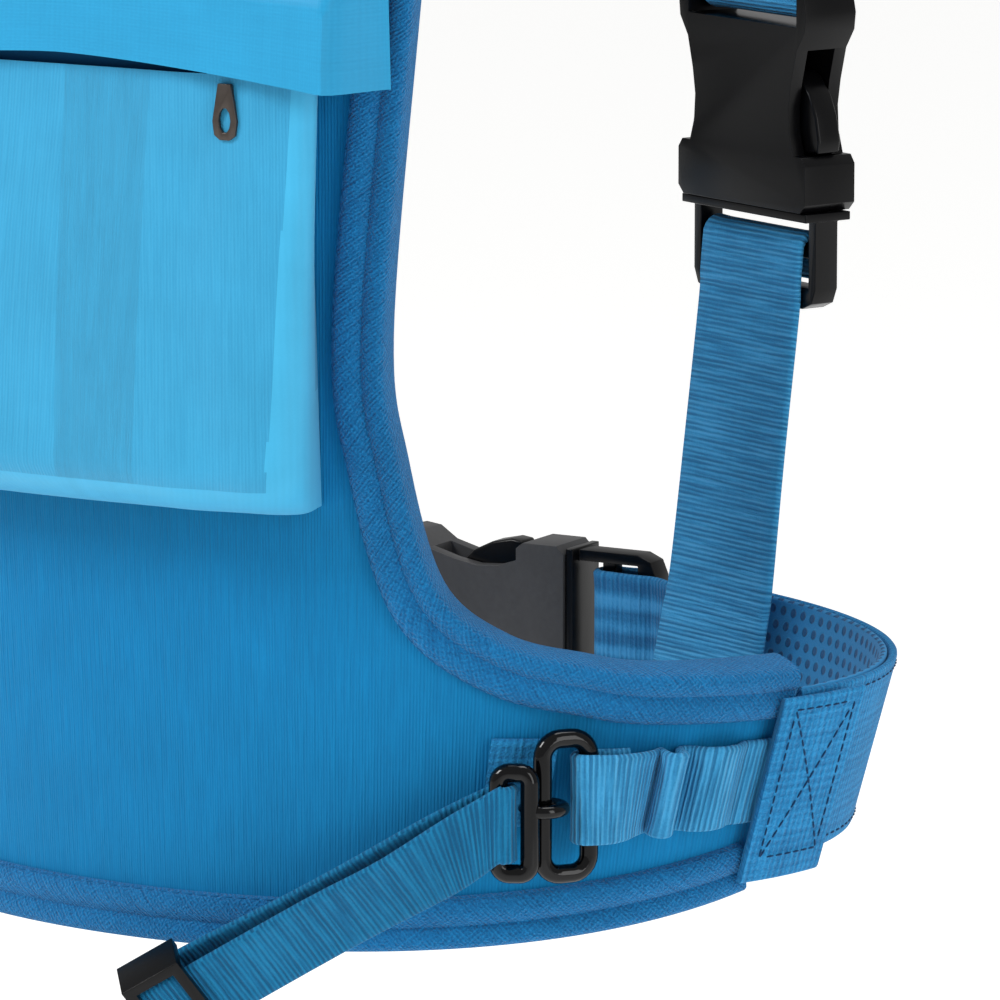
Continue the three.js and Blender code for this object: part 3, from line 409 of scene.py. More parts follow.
def lengths(points):
    gone = [0.0]
    for a, b in zip(points, points[1:]):
        gone.append(gone[-1] + (b - a).length)
    return gone


def sweep(section, stations, closed_line=False):
    """A closed section carried through stations (place, direction of x, direction of y)."""
    loop = section + section[:1]
    girth = lengths([Vector((x, y, 0)) for x, y in loop])
    reach = lengths([s[0] for s in stations])
    columns, rows = len(loop) - 1, len(stations) - 1

    def place(u, v):
        at, x, y = stations[round(v * rows)]
        px, py = loop[round(u * columns)]
        return at + x * px + y * py

    def flat(u, v):
        return girth[round(u * columns)], reach[round(v * rows)]

    return surface(columns, rows, place, flat, closed=True, caps=not closed_line)


def web_section(width, thickness, ridge=0.0):
    """A flat section with rounded edges; a ridge swells its two selvedges."""
    half, r = width / 2, thickness / 2
    side = [(half - r + r * math.cos(a), r * math.sin(a)) for a in [math.radians(d) for d in (-60, -30, 0, 30, 60)]]
    steps = 10
    top = []
    for i in range(steps + 1):
        x = lerp(half - r, r - half, i / steps)
        swell = ridge * smoothstep(abs(x), half - 3, half - 1.5)
        top.append((x, r + swell))
    other = [(-x, -y) for x, y in side]
    bottom = [(-x, -y) for x, y in top]
    return side + top + other + bottom


def frames(points, across):
    stations = []
    for i, at in enumerate(points):
        ahead = (points[min(i + 1, len(points) - 1)] - points[max(i - 1, 0)]).normalized()
        side = across[i].normalized()
        stations.append((at, side, ahead.cross(side).normalized()))
    return stations


def webbing(name, points, across, width, thickness, cloth_material, body="vest", replaced=(), steps=4, ridge=0.0):
    """Webbing along a smooth line through the points; across gives its width's direction at each."""
    line = spline(points, steps)
    sides = spline(across, steps)
    bm = sweep(web_section(width, thickness, ridge), frames(line, sides))
    return finish_mesh(name, bm, [cloth_material], body, 50, replaced)


def circle(radius, count=14):
    return [(radius * math.cos(2 * math.pi * i / count), radius * math.sin(2 * math.pi * i / count))
            for i in range(count)]


def tube(points, radius, loop=False, normal=None):
    """A round rod along points; a flat loop states the normal of its plane."""
    count = len(points)
    stations = []
    side = normal
    for i, at in enumerate(points):
        before = points[(i - 1) % count] if loop else points[max(i - 1, 0)]
        after = points[(i + 1) % count] if loop else points[min(i + 1, count - 1)]
        ahead = (after - before).normalized()
        stations.append((at, side, ahead.cross(side).normalized()))
    if loop:
        stations.append(stations[0])
    return sweep(circle(radius), stations, closed_line=loop)


def moved(bm, matrix):
    """Takes a mesh made in millimetres to its place; the matrix is in millimetres too."""
    place = Matrix(matrix)
    place.translation = place.translation * MM
    bmesh.ops.transform(bm, matrix=place, verts=bm.verts)
    return bm


def basis(origin, x, y):
    x, y = Vector(x).normalized(), Vector(y).normalized()
    z = x.cross(y)
    made = Matrix((x, y, z)).transposed().to_4x4()
    made.translation = Vector(origin)
    return made


def joined(parts_list):
    whole = bmesh.new()
    whole.loops.layers.uv.new("cloth")
    for bm in parts_list:
        mesh = bpy.data.meshes.new("piece")
        bm.to_mesh(mesh)
        bm.free()
        whole.from_mesh(mesh)
        bpy.data.meshes.remove(mesh)
    return whole


def stitches(name, lines, material_used, body="vest", length=2.2, gap=1.0, thick=0.5):
    """Short raised threads along lines; each line is a list of (place, outwards)."""
    whole = bmesh.new()
    layer = whole.loops.layers.uv.new("cloth")
    for line in lines:
        reach = lengths([p for p, _ in line])
        at = gap / 2
        while at + length < reach[-1]:
            middle = at + length / 2
            k = max(i for i in range(len(reach) - 1) if reach[i] <= middle)
            share = (middle - reach[k]) / max(1e-6, reach[k + 1] - reach[k])
            place = line[k][0].lerp(line[k + 1][0], share)
            ahead = (line[k + 1][0] - line[k][0]).normalized()
            out = line[k][1].lerp(line[k + 1][1], share).normalized()
            turn = basis(place, ahead, out.cross(ahead))
            made = bmesh.ops.create_uvsphere(whole, u_segments=6, v_segments=4, radius=0.5)
            scale = Matrix.Diagonal((length, thick, thick, 1))
            place_matrix = turn @ scale
            place_matrix.translation = turn.translation
            bmesh.ops.transform(whole, matrix=place_matrix, verts=made["verts"])
            at += length + gap
    for face in whole.faces:
        for loop in face.loops:
            loop[layer].uv = (loop.vert.co.x, loop.vert.co.z)
    bmesh.ops.scale(whole, vec=(MM, MM, MM), verts=whole.verts)
    return finish_mesh(name, whole, [material_used], body, 60)


def hard_copy(node, name, body, used, bevel, segments=2):
    """A merged copy of a solid's mesh with its sharp edges rounded, in the solid's place."""
    bm = bmesh.new()
    bm.from_mesh(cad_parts[node].data)
    bmesh.ops.remove_doubles(bm, verts=bm.verts, dist=2e-6)
    bmesh.ops.dissolve_limit(bm, angle_limit=math.radians(1.5), verts=bm.verts, edges=bm.edges)
    bm.loops.layers.uv.new("cloth")
    sharp = [e for e in bm.edges if len(e.link_faces) == 2 and e.calc_face_angle(0) > math.radians(28)]
    bmesh.ops.bevel(bm, geom=sharp, offset=bevel * MM, segments=segments, profile=0.5, affect="EDGES",
                    clamp_overlap=True, material=-1)
    return finish_mesh(name, bm, [used], body, 35, [node])


# ---------------------------------------------------------------- bib
WING_TOP = BELT_TOP + 5
HEM_SIDE = HEM_RISE - HEM_DROP
wing_x = half_width(WING_TOP) * math.sin(math.radians(WING_END))
edge_points = [Vector(p) for p in (
    (wing_x, 0, WING_TOP), (wing_x - 21, 0, WING_TOP + 1.2), (102, 0, WING_TOP + 3.5), (87, 0, WING_TOP + 8),
    (73.5, 0, WING_TOP + 20), (66.5, 0, (WING_TOP + 120) / 2), (64, 0, 100), (71, 0, 165), (78, 0, 220),
    (SHOULDER_OUTER, 0, SHOULDER_Z))]
armhole = [(angle_of(p.x, p.z), p.z) for p in spline(edge_points, 10)]
wing = [(WING_END, lerp(HEM_SIDE, WING_TOP, i / 10)) for i in range(10)]
bib_edge = wing + armhole
neck_share = 1 - SHOULDER_WIDTH / SHOULDER_OUTER


def hem_height(share):
    return -HEM_DROP + HEM_RISE * abs(share) ** 2.4


def neck_height(share):
    return SHOULDER_Z - NECK_DEPTH * (1 - min(1, abs(share) / neck_share) ** 2)


def bib_place(share, row, offset):
    degrees, edge_z = bib_edge[row]
    rise = (edge_z - HEM_SIDE) / (SHOULDER_Z - HEM_SIDE)
    z = lerp(hem_height(share), neck_height(share), rise)
    return around(share * degrees, z) + square_to(share * degrees, z) * offset


def bib_panel(name, offset, thickness, used, node, columns=72):
    rows = len(bib_edge) - 1

    def place(u, v):
        return bib_place(2 * u - 1, round(v * rows), offset)

    def flat(u, v):
        p = bib_place(2 * u - 1, round(v * rows), 0)
        return math.radians(math.degrees(math.atan2(p.x, -p.y))) * 115, p.z

    bm = surface(columns, rows, place, flat, thickness=thickness)
    return finish_mesh(name, bm, [used], "vest", 40, [node])


cover = bib_panel("bib cover", 0, 1.1, cover_cloth, "bib_outer_cover")
padding = bib_panel("bib padding", -1.6, 2.6, pad_cloth, "bib_foam", 36)
bib_panel("bib lining", -4.9, 1.1, mesh_cloth, "bib_mesh_lining")


def binding_section():
    """A folded tape with two soft rolls on its outer side, from the inner line over the edge and back."""
    width, over = 10.6, 1.5
    points = []
    for i in range(17):
        x = lerp(-width, over - 1.6, i / 16)
        roll = abs(math.sin(math.pi * (x + width) / 6.4)) ** 0.5
        points.append((x, 0.9 + 1.8 * roll))
    middle = (LINING_INNER + 0.0) / 2
    reach = 2.7 - middle
    for i in range(1, 10):
        a = math.radians(lerp(72, -72, i / 10))
        points.append((over - 1.6 + 1.6 * math.cos(a) ** 0.7, middle + reach * math.sin(a)))
    for i in range(13):
        x = lerp(over - 1.6, -width, i / 12)
        points.append((x, LINING_INNER - 1.6 - 0.8 * abs(math.sin(math.pi * (x + width) / 12.8)) ** 0.5))
    return points


def edge_stations(edge):
    stations = []
    for i, (degrees, z) in enumerate(edge):
        before, after = edge[max(i - 1, 0)], edge[min(i + 1, len(edge) - 1)]
        ahead = (around(*after) - around(*before)).normalized()
        out = square_to(degrees, z)
        stations.append((around(degrees, z), out.cross(ahead).normalized(), out))
    return stations


def mirrored(edge):
    return [(-degrees, z) for degrees, z in edge]


hem = [((2 * i / 72 - 1) * WING_END, hem_height(2 * i / 72 - 1)) for i in range(73)]
neck_edge = [((2 * i / 40 - 1) * neck_share * bib_edge[-1][0], neck_height((2 * i / 40 - 1) * neck_share))
             for i in range(41)]
for name, edge, node in (
        ("armhole binding right", armhole[::-1], "armhole_binding_right"),
        ("armhole binding left", mirrored(armhole), "armhole_binding_left"),
        ("hem binding", hem[::-1], "hem_binding"), ("neck binding", neck_edge, "neck_binding")):
    stations = edge_stations(edge)
    finish_mesh(name, sweep(binding_section(), stations), [binding_cloth], "vest", 60, [node])
    line = [(at + x * -10.3 + y * 1.5, y) for at, x, y in stations]
    groove = [(at + x * -4.2 + y * 1.1, y) for at, x, y in stations]
    stitches(name + " stitching", [line, groove], soft_thread, thick=0.5)


# ---------------------------------------------------------------- pocket
ZIP_Z, POCKET_LOW = 162, 63


def pocket_face(x, z):
    low = max(-0.3, min(1, (ZIP_Z - z) / (ZIP_Z - POCKET_LOW)))
    return -half_depth(z) - lerp(11, 23, low) + 0.0012 * max(0, low) * x * x


def bib_face(x, z):
    return around(angle_of(abs(x), z), z).y


def pocket_half(z):
    return lerp(58, 65, (z - POCKET_LOW) / (ZIP_Z - POCKET_LOW))


POCKET_TOP = 158
SEAM_HALF = 49.5


def pocket_place(u, v):
    """Across the pocket from one seam on the bib, over the gusset and the face, to the other seam."""
    z = lerp(POCKET_LOW + 0.4, POCKET_TOP, v)
    bottom = min(1, (z - POCKET_LOW) / 11)
    round_off = math.sqrt(max(0.0, 1 - (1 - bottom) ** 2))
    turn = math.pi * u
    c, s = -math.cos(turn), math.sin(turn)
    x_share = math.copysign(abs(c) ** 0.30, c)
    depth_share = abs(s) ** 0.42
    half = pocket_half(z) * (0.84 + 0.16 * round_off)
    x = x_share * lerp(SEAM_HALF, half, depth_share)
    face, back = pocket_face(x, z), bib_face(min(abs(x), SEAM_HALF), z) - 0.5
    front = lerp(back, face, 0.2 + 0.8 * round_off)
    ripple = 0.35 * math.sin(x * 0.33 + 1.3 * math.sin(z * 0.07)) * depth_share
    return Vector((x, lerp(back, front - ripple - 0.1, depth_share), z))


def pocket_flat(u, v):
    p = pocket_place(u, v)
    return p.x * 1.0 + p.y * 0.6 * (1 if u > 0.5 else -1), p.z


bm = surface(120, 44, pocket_place, pocket_flat, thickness=0.9)
for face in bm.faces:
    middle = face.calc_center_median() * 1000
    gusset_from = pocket_half(middle.z) * 0.86
    # The gusset sides and the bottom strip take the lighter satin, a painted highlight.
    face.material_index = 1 if abs(middle.x) > gusset_from or middle.z < POCKET_LOW + 7 else 0
finish_mesh("pocket", bm, [pocket_satin, lit_gusset_satin], "vest", 50, ["pocket_body"])


def flap_place(u, v, lift=0.0):
    across = 2 * u - 1
    share = math.copysign(1 - (1 - abs(across)) ** 1.6, across) if across else 0.0
    z = lerp(161 - 6 * abs(share) ** 1.5, 184, v)
    x = share * 70
    ends = smoothstep(1 - abs(share), 0, 0.06)
    top = smoothstep(1 - v, 0, 0.35)
    close = bib_face(x, z) - 3.9
    over = min(pocket_face(x, z) - 1.8, close)
    return Vector((x, lerp(close, over, min(ends, top)) - 1.5 - lift, z))


bm = surface(90, 18, flap_place, lambda u, v: ((2 * u - 1) * 70, v * 26), thickness=1.3)
finish_mesh("pocket flap", bm, [flap_satin], "vest", 50, ["pocket_flap"])
sky = Vector((0, -1, 0))
lower_seam = [(flap_place(i / 60, 0.10, 0.15), sky) for i in range(2, 59)]
end_seams = [[(flap_place(u, i / 12, 0.15), sky) for i in range(13)] for u in (0.022, 0.045, 0.955, 0.978)]
stitches("flap stitching", [lower_seam] + end_seams, pale_thread, thick=0.45)

tack_lines = []
for side in (-1, 1):
    for k in range(7):
        z = 177 + k * 1.0
        u = 0.5 + side * 0.462
        base = flap_place(u, (z - 156) / 28, 0.3)
        tack_lines.append([(base + Vector((-3.2, 0, 0)), sky), (base + Vector((3.2, 0, 0)), sky)])
stitches("flap bar tacks", tack_lines, thread, length=5.0, gap=0.4, thick=0.8)

# Zip: tape, coil teeth, slider and pull
hard_copy("zip_tape", "zip tape", "vest", tape_cloth, 0.1)
coil_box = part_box("zip_coil")
teeth = bmesh.new()
coil_y = (coil_box[0][1] + coil_box[1][1]) / 2 * 1000
for i in range(66):
    x = -53 + i * 106 / 65
    for z in (161.3, 162.7):
        made = bmesh.ops.create_cube(teeth, size=1)
        bmesh.ops.scale(teeth, vec=(1.0, 0.9, 1.3), verts=made["verts"])
        bmesh.ops.translate(teeth, vec=(x + (0.4 if z > 162 else -0.4), coil_y, z), verts=made["verts"])
bmesh.ops.scale(teeth, vec=(MM, MM, MM), verts=teeth.verts)
teeth.loops.layers.uv.new("cloth")
finish_mesh("zip teeth", teeth, [pull_paint], "vest", 30, ["zip_coil"])
for node, label, body in (("zip_stop_left", "zip stop left", "vest"), ("zip_stop_right", "zip stop right", "vest"),
                          ("zip_slider", "zip slider", "zip_slider"), ("zip_pull", "zip pull", "zip_pull")):
    hard_copy(node, label, body, pull_paint, 0.25)

# ---------------------------------------------------------------- waist belt
PATCH_START = WING_END - 2.5
PATCH_END = angle_after(PATCH_START, 22)
BELT_START = angle_after(WING_END, 4)
BELT_END_X = 53.2
BELT_END = 180 - angle_of(BELT_END_X, 0)


def band(start, end, low, high, inner, outer, side, columns):
    """A band of the body surface with rounded long edges."""
    middle, half = (inner + outer) / 2, (outer - inner) / 2
    section = web_section(high - low, outer - inner)
    centre_z = (low + high) / 2
    stations = []
    for i in range(columns + 1):
        degrees = lerp(start, end, i / columns)
        stations.append(degrees)
    girth = lengths([Vector((x, y, 0)) for x, y in section + section[:1]])
    reach = [0.0]
    for a, b in zip(stations, stations[1:]):
        reach.append(reach[-1] + (around(b, 0) - around(a, 0)).length)

    def place(u, v):
        across, out = (section + section[:1])[round(u * len(section))]
        p = around(stations[round(v * columns)], centre_z + across, middle + out)
        return Vector((p.x * side, p.y, p.z))

    return surface(len(section), columns, place,
                   lambda u, v: (girth[round(u * len(section))], reach[round(v * columns)]), closed=True, caps=True)


for side, word in ((1, "right"), (-1, "left")):
    finish_mesh("waist belt " + word, band(BELT_START, BELT_END, -20, 20, -2, 0, side, 60), [knit_cloth],
                "vest", 50, ["waist_belt_" + word])
    finish_mesh("belt lining " + word, band(angle_after(BELT_START, 2), BELT_END, -20, 20, -3.9, -2.3, side, 60),
                [mesh_cloth], "vest", 50, ["belt_lining_" + word])
    finish_mesh("belt patch " + word, band(PATCH_START, PATCH_END, -22.7, 20, 3.6, 5.6, side, 16), [knit_cloth],
                "vest", 50, ["belt_patch_" + word])
    corners = [(angle_after(PATCH_START, 3), -17), (angle_after(PATCH_START, 3), 17),
               (angle_after(PATCH_START, 19), 17), (angle_after(PATCH_START, 19), -17)]
    lines = []
    for a, b in ((0, 1), (1, 2), (2, 3), (3, 0), (0, 2), (1, 3)):
        line = []
        for i in range(13):
            degrees, z = lerp(corners[a][0], corners[b][0], i / 12), lerp(corners[a][1], corners[b][1], i / 12)
            p, out = around(degrees, z, 5.7), outwards_at(degrees, z)
            line.append((Vector((p.x * side, p.y, p.z)), Vector((out.x * side, out.y, out.z))))
        lines.append(line)
    stitches("box stitch " + word, lines, thread, length=2.2, gap=0.35, thick=0.5)
    edges = []
    for z in (-17.6, 17.6):
        line = []
        for i in range(61):
            degrees = lerp(BELT_START, BELT_END, i / 60)
            p, out = around(degrees, z, 0.1), outwards_at(degrees, z)
            line.append((Vector((p.x * side, p.y, p.z)), Vector((out.x * side, out.y, out.z))))
        edges.append(line)
    stitches("belt stitching " + word, edges, thread, thick=0.5)


# ---------------------------------------------------------------- buckles
def level(degrees):
    return Vector((math.cos(math.radians(degrees)), math.sin(math.radians(degrees)), 0))


CLEAR = 0.3
WEB = 1.6
FEMALE_BAR = 49.5
FEMALE_WRAP = 2.5 * math.sqrt(2) + CLEAR + WEB / 2
MALE_BAR = -9.5
MALE_WRAP = 1.75 * math.sqrt(2) + CLEAR + WEB / 2


def in_frame(matrix, y, z):
    return matrix @ Vector((0, y, z))


def round_bar(matrix, bar, radius, start, end):
    return [in_frame(matrix, bar + radius * math.cos(math.radians(d)), radius * math.sin(math.radians(d)))
            for d in [lerp(start, end, i / 8) for i in range(9)]]


def male_web(matrix):
    front = 3.25 + CLEAR + WEB / 2
    return [in_frame(matrix, -17, -MALE_WRAP - 1), in_frame(matrix, MALE_BAR - 3, -MALE_WRAP),
            *round_bar(matrix, MALE_BAR, MALE_WRAP, -90, 90), in_frame(matrix, -18, front),
            in_frame(matrix, -24, front + 0.3)]


def buckle(prefix, label, male_body, arms, shell):
    hard_copy(prefix + "_buckle_female", label + " buckle socket", "vest", shell, 1.3, 3)
    hard_copy(prefix + "_buckle_male", label + " buckle tongue", male_body, plastic, 0.7, 3)
    for node, body in arms:
        hard_copy(node, node.replace("_", " "), body, plastic, 0.6, 3)


buckle("waist", "waist", "waist_male", (("waist_latch_upper", "waist_arm_upper"),
                                        ("waist_latch_lower", "waist_arm_lower")), grey_plastic)
waist_frame = basis((15, 88, 0), UP, level(180))
LAYER = -2 - 1.6 - 5 * CLEAR - WEB / 2
OUTER = 3 * CLEAR + WEB / 2
belt_lean = rise_at(180 - angle_of(BELT_END_X, 0), 0)
web_steps = [BELT_END_X - 6, BELT_END_X + 6, BELT_END_X + 12]


def belt_place(x, offset, side=1):
    p = around(180 - angle_of(x, 0), 0, offset)
    return Vector((p.x * side, p.y, p.z))


def left_lean(v):
    return Vector((-v.x, v.y, v.z))


points = male_web(waist_frame) + [belt_place(x, LAYER) for x in web_steps]
web = webbing("waist webbing right", points, [UP] * (len(points) - 3) + [belt_lean] * 3, 38, WEB, buckle_webbing,
              None, ["waist_web_right"], ridge=0.25)
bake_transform(web)
points = ([belt_place(x, LAYER, -1) for x in reversed(web_steps)] + [in_frame(waist_frame, 54, FEMALE_WRAP)]
          + round_bar(waist_frame, FEMALE_BAR, FEMALE_WRAP, 90, 270) + [in_frame(waist_frame, 54, -FEMALE_WRAP)]
          + [belt_place(x, OUTER, -1) for x in web_steps])
lean = left_lean(belt_lean)
webbing("waist webbing left", points, [lean] * 3 + [UP] * (len(points) - 6) + [lean] * 3, 38, WEB, buckle_webbing,
        "vest", ["waist_web_left"], ridge=0.25)

# ---------------------------------------------------------------- shoulder straps
FOOT = LAYER - WEB - CLEAR - 3.5
PAD_WIDTH, PAD_THICK = 46, 6
FOAM_MIDDLE = -3.0


def cloth_places(obj, line, sides):
    """Gives a simulated pad its cloth places: across it and along its middle line."""
    gone = lengths(line)
    layer = obj.data.uv_layers.get("cloth") or obj.data.uv_layers.new(name="cloth")
    flat = []
    for vert in obj.data.vertices:
        p = vert.co / MM
        k = min(range(len(line)), key=lambda i: (line[i] - p).length_squared)
        ahead = (line[min(k + 1, len(line) - 1)] - line[max(k - 1, 0)]).normalized()
        flat.append(((p - line[k]).dot(sides[k].normalized()), gone[k] + (p - line[k]).dot(ahead)))
    for loop in obj.data.loops:
        layer.data[loop.index].uv = flat[loop.vertex_index]


def stuffed(obj, cap):
    """Swells a pad with a short cloth simulation, keeps each point within cap millimetres of its start."""
    scene = bpy.context.scene
    bpy.context.view_layer.objects.active = obj
    remesh = obj.modifiers.new("remesh", "REMESH")
    remesh.mode = "VOXEL"
    remesh.voxel_size = 4 * MM
    mesh = bpy.data.meshes.new_from_object(obj.evaluated_get(bpy.context.evaluated_depsgraph_get()))
    obj.modifiers.remove(remesh)
    old = obj.data
    obj.data = mesh
    bpy.data.meshes.remove(old)
    start = [v.co.copy() for v in mesh.vertices]
    soft = obj.modifiers.new("cloth", "CLOTH")
    soft.settings.use_pressure = True
    soft.settings.uniform_pressure_force = 4
    soft.settings.effector_weights.gravity = 0
    soft.settings.quality = 6
    soft.point_cache.frame_start = 1
    soft.point_cache.frame_end = 20
    for number in range(1, 21):
        scene.frame_set(number)
    after = obj.evaluated_get(bpy.context.evaluated_depsgraph_get()).data
    places = [v.co.copy() for v in after.vertices]
    obj.modifiers.remove(soft)
    scene.frame_set(1)
    for vert, a, b in zip(mesh.vertices, start, places):
        gone = b - a
        limit = cap * MM
        vert.co = a + (gone if gone.length < limit else gone * (limit / gone.length))
    bm = bmesh.new()
    bm.from_mesh(mesh)
    bmesh.ops.smooth_vert(bm, verts=bm.verts, factor=0.5, use_axis_x=True, use_axis_y=True, use_axis_z=True)
    bmesh.ops.subdivide_edges(bm, edges=bm.edges[:], cuts=1, use_grid_fill=True, smooth=0.6)
    bm.to_mesh(mesh)
    bm.free()
    mesh.shade_smooth()
    return obj


for side, word in ((1, "right"), (-1, "left")):
    turn = side * -25
    matrix = basis((side * 65, 88, 110), level(turn), UP)
    prefix = "shoulder_" + word
    buckle(prefix, "shoulder " + word, prefix + "_male",
           [(prefix + "_latch_" + place, prefix + "_arm_" + place) for place in ("outer", "inner")], plastic)
    across = level(turn)
    foot_angle = side * (180 - angle_of(65, 0))
    foot_across = tangent_at(foot_angle, 0) * -1

    lower = male_web(matrix)
    foot = [around(foot_angle, z, FOOT) for z in (24, 14, 0, -16)]
    lower += [lower[-1].lerp(around(foot_angle, 22, FOOT), 0.5)] + foot
    turned = [across.lerp(foot_across, max(0, i - len(lower) + 5) / 4) for i in range(len(lower))]
    web = webbing("shoulder webbing lower " + word, lower, turned, 38, WEB, webbing_cloth, None,
                  ["shoulder_web_lower_" + word], ridge=0.2)
    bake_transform(web)

    upper = [in_frame(matrix, 76, FEMALE_WRAP), in_frame(matrix, FEMALE_BAR + 2, FEMALE_WRAP),
             *round_bar(matrix, FEMALE_BAR, FEMALE_WRAP, 90, 270), in_frame(matrix, FEMALE_BAR + 2, -FEMALE_WRAP),
             in_frame(matrix, 76, -FEMALE_WRAP)]
    webbing("shoulder webbing upper " + word, upper, [across] * len(upper), 38, WEB, webbing_cloth, "vest",
            ["shoulder_web_upper_" + word], ridge=0.2)

    pad_z = FEMALE_WRAP + WEB / 2 + CLEAR + PAD_THICK / 2 + 1
    top_x = SHOULDER_OUTER - SHOULDER_WIDTH / 2
    top_angle = side * angle_of(top_x, SHOULDER_Z)
    start = around(top_angle, SHOULDER_Z + 2, FOAM_MIDDLE)
    knots = [start, start + Vector((-side, 12, 15)), Vector((side * (top_x + 2), -18, 296)),
             Vector((side * (top_x + 4), 12, 300)), Vector((side * (top_x + 5), 44, 284)),
             Vector((side * (top_x + 5), 68, 253)), in_frame(matrix, 82, pad_z + 2), in_frame(matrix, 55, pad_z)]
    line = spline(knots, 6)
    front_across = tangent_at(top_angle, SHOULDER_Z)
    sides = [front_across.lerp(across, i / (len(line) - 1)) for i in range(len(line))]
    bm = sweep(web_section(PAD_WIDTH - 4, PAD_THICK - 2), frames(line, sides))
    pad = finish_mesh("shoulder pad " + word, bm, [pad_cloth], None, 60, ["shoulder_pad_" + word])
    stuffed(pad, 3)
    cloth_places(pad, line, sides)
    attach(pad, "vest")
    seams = []
    for edge in (-16.5, 16.5):
        row = []
        for at, x, y in frames(line, sides)[2:-1]:
            row.append((at + x * edge - y * 3.9, -y))
        seams.append(row)
    stitches("pad stitching " + word, seams, thread, thick=0.6)


# ---------------------------------------------------------------- side webbing, anchor squares and rings
def side_place(distance, offset, z=0.5):
    return around(angle_after(PATCH_START, -distance), z, offset)


FLAT = CLEAR + WEB / 2
ROD = 2.1
BAR_DISTANCE = 38.5
bar_angle = angle_after(PATCH_START, -BAR_DISTANCE)
bar_out = outwards_at(bar_angle, -1)
bar_forward = tangent_at(bar_angle, -1) * -1
ring_bar = around(bar_angle, -1, 6)
inner_run = [(29.5, 1.8), (31.5, 1.8), (33, 2)]
outer_run = [(34.5, 7.8), (30.5, 6), (27, 3), (24.5, 0.3), (24, 0.2), (23.6, 5.5), (22, 7), (20.4, 5.5), (20, 0.2),
             (17, 0.2), (14.5, 2.6), (11, 3.6), (7.5, 2.4), (5, 0.2), (2, 0.4), (-1.5, 0.2)]
wrap_ring = ROD + CLEAR + WEB / 2
middle = Vector((ring_bar.x, ring_bar.y, 0.5))
daisy = [side_place(d, FLAT + lift) for d, lift in inner_run]
daisy += [middle + (bar_forward * math.cos(a) + bar_out * math.sin(a)) * wrap_ring
          for a in [math.radians(lerp(-75, 75, i / 8)) for i in range(9)]]
upright = len(daisy)
daisy += [side_place(d, FLAT + lift) for d, lift in outer_run]
daisy_across = []
for i in range(len(daisy)):
    distance = outer_run[max(0, i - upright)][0]
    lean = rise_at(angle_after(PATCH_START, -distance), 0.5)
    daisy_across.append(UP.lerp(lean, max(0, min(1, (i - upright + 1) / 3))))

ring_out = bar_forward * math.cos(math.radians(14)) + bar_out * math.sin(math.radians(14))


def rounded_loop(width, height, corner, radius):
    """The middle line of a rod bent into a rectangle with round corners, centred on the origin."""
    x, y, r = width / 2 - radius, height / 2 - radius, corner
    line = []
    for cx, cy, start in ((x - r, y - r, 0), (r - x, y - r, 90), (r - x, r - y, 180), (x - r, r - y, 270)):
        for i in range(7):
            a = math.radians(start + i * 15)
            line.append(Vector((cx + r * math.cos(a), cy + r * math.sin(a), 0)))
    return line


def ring_mesh():
    line = [p + Vector((5.4, 0, 0)) for p in rounded_loop(15, 34, 4, ROD)]
    return moved(tube(line, ROD, loop=True, normal=Vector((0, 0, 1))), basis(ring_bar, ring_out, UP))


def flipped(bm):
    bmesh.ops.scale(bm, vec=(-1, 1, 1), verts=bm.verts)
    bmesh.ops.recalc_face_normals(bm, faces=bm.faces)
    return bm


for side, word in ((1, "right"), (-1, "left")):
    line, sides = daisy, daisy_across
    if side < 0:
        line, sides = [left_lean(p) for p in daisy], [left_lean(p) for p in daisy_across]
    webbing("daisy webbing " + word, line, sides, 20, WEB, webbing_cloth, "vest", ["daisy_webbing_" + word],
            ridge=0.15)
    ring = ring_mesh() if side > 0 else flipped(ring_mesh())
    finish_mesh("side ring " + word, ring, [rod_coat], "ring_" + word, 60, ["side_ring_" + word])
    square = angle_after(bar_angle, -15)
    bm = band(angle_after(square, -7), angle_after(square, 7), -7, 13, 0.3, 1.9, side, 10)
    finish_mesh("anchor square " + word, bm, [knit_cloth], "vest", 50, ["anchor_square_" + word])

# ---------------------------------------------------------------- hooks, strap and slide buckle
ring_leg = ring_bar + ring_out * 10.8
EYE_REACH = 6.8
HOOK_CENTRE = Vector((9.2, 2.5, -4.3))
TETHER_TURN, TETHER_SLOPE, TETHER_ROLL, TETHER_LENGTH, SLIDER_AT = 206, 30.7, 26, 150, 81
near_frame = basis((0, 0, 0), level(TETHER_TURN - 180), UP)
eye_leg = ring_leg - near_frame @ HOOK_CENTRE
near_frame.translation = eye_leg


def hook_arc(start, end, steps):
    return [HOOK_CENTRE + Vector((math.cos(a), 0, math.sin(a))) * 4.5
            for a in [math.radians(lerp(start, end, i / steps)) for i in range(steps + 1)]]


def hook(name, matrix, body, gate_body, nodes):
    eye = tube([p + Vector((EYE_REACH / 2, 0, 0)) for p in rounded_loop(11, 26.4, 2.3, ROD)], ROD, loop=True,
               normal=Vector((0, 0, 1)))
    bend = tube(hook_arc(118, -117, 24), 1.5, normal=Vector((0, 1, 0)))
    whole = joined([moved(eye, matrix), moved(bend, matrix)])
    finish_mesh(name + " hook", whole, [rod_coat], body, 60, nodes[:1])
    gate = moved(tube(hook_arc(-146, -204, 10), 0.8, normal=Vector((0, 1, 0))), matrix)
    finish_mesh(name + " hook gate", gate, [rod_coat], gate_body, 60, nodes[1:])


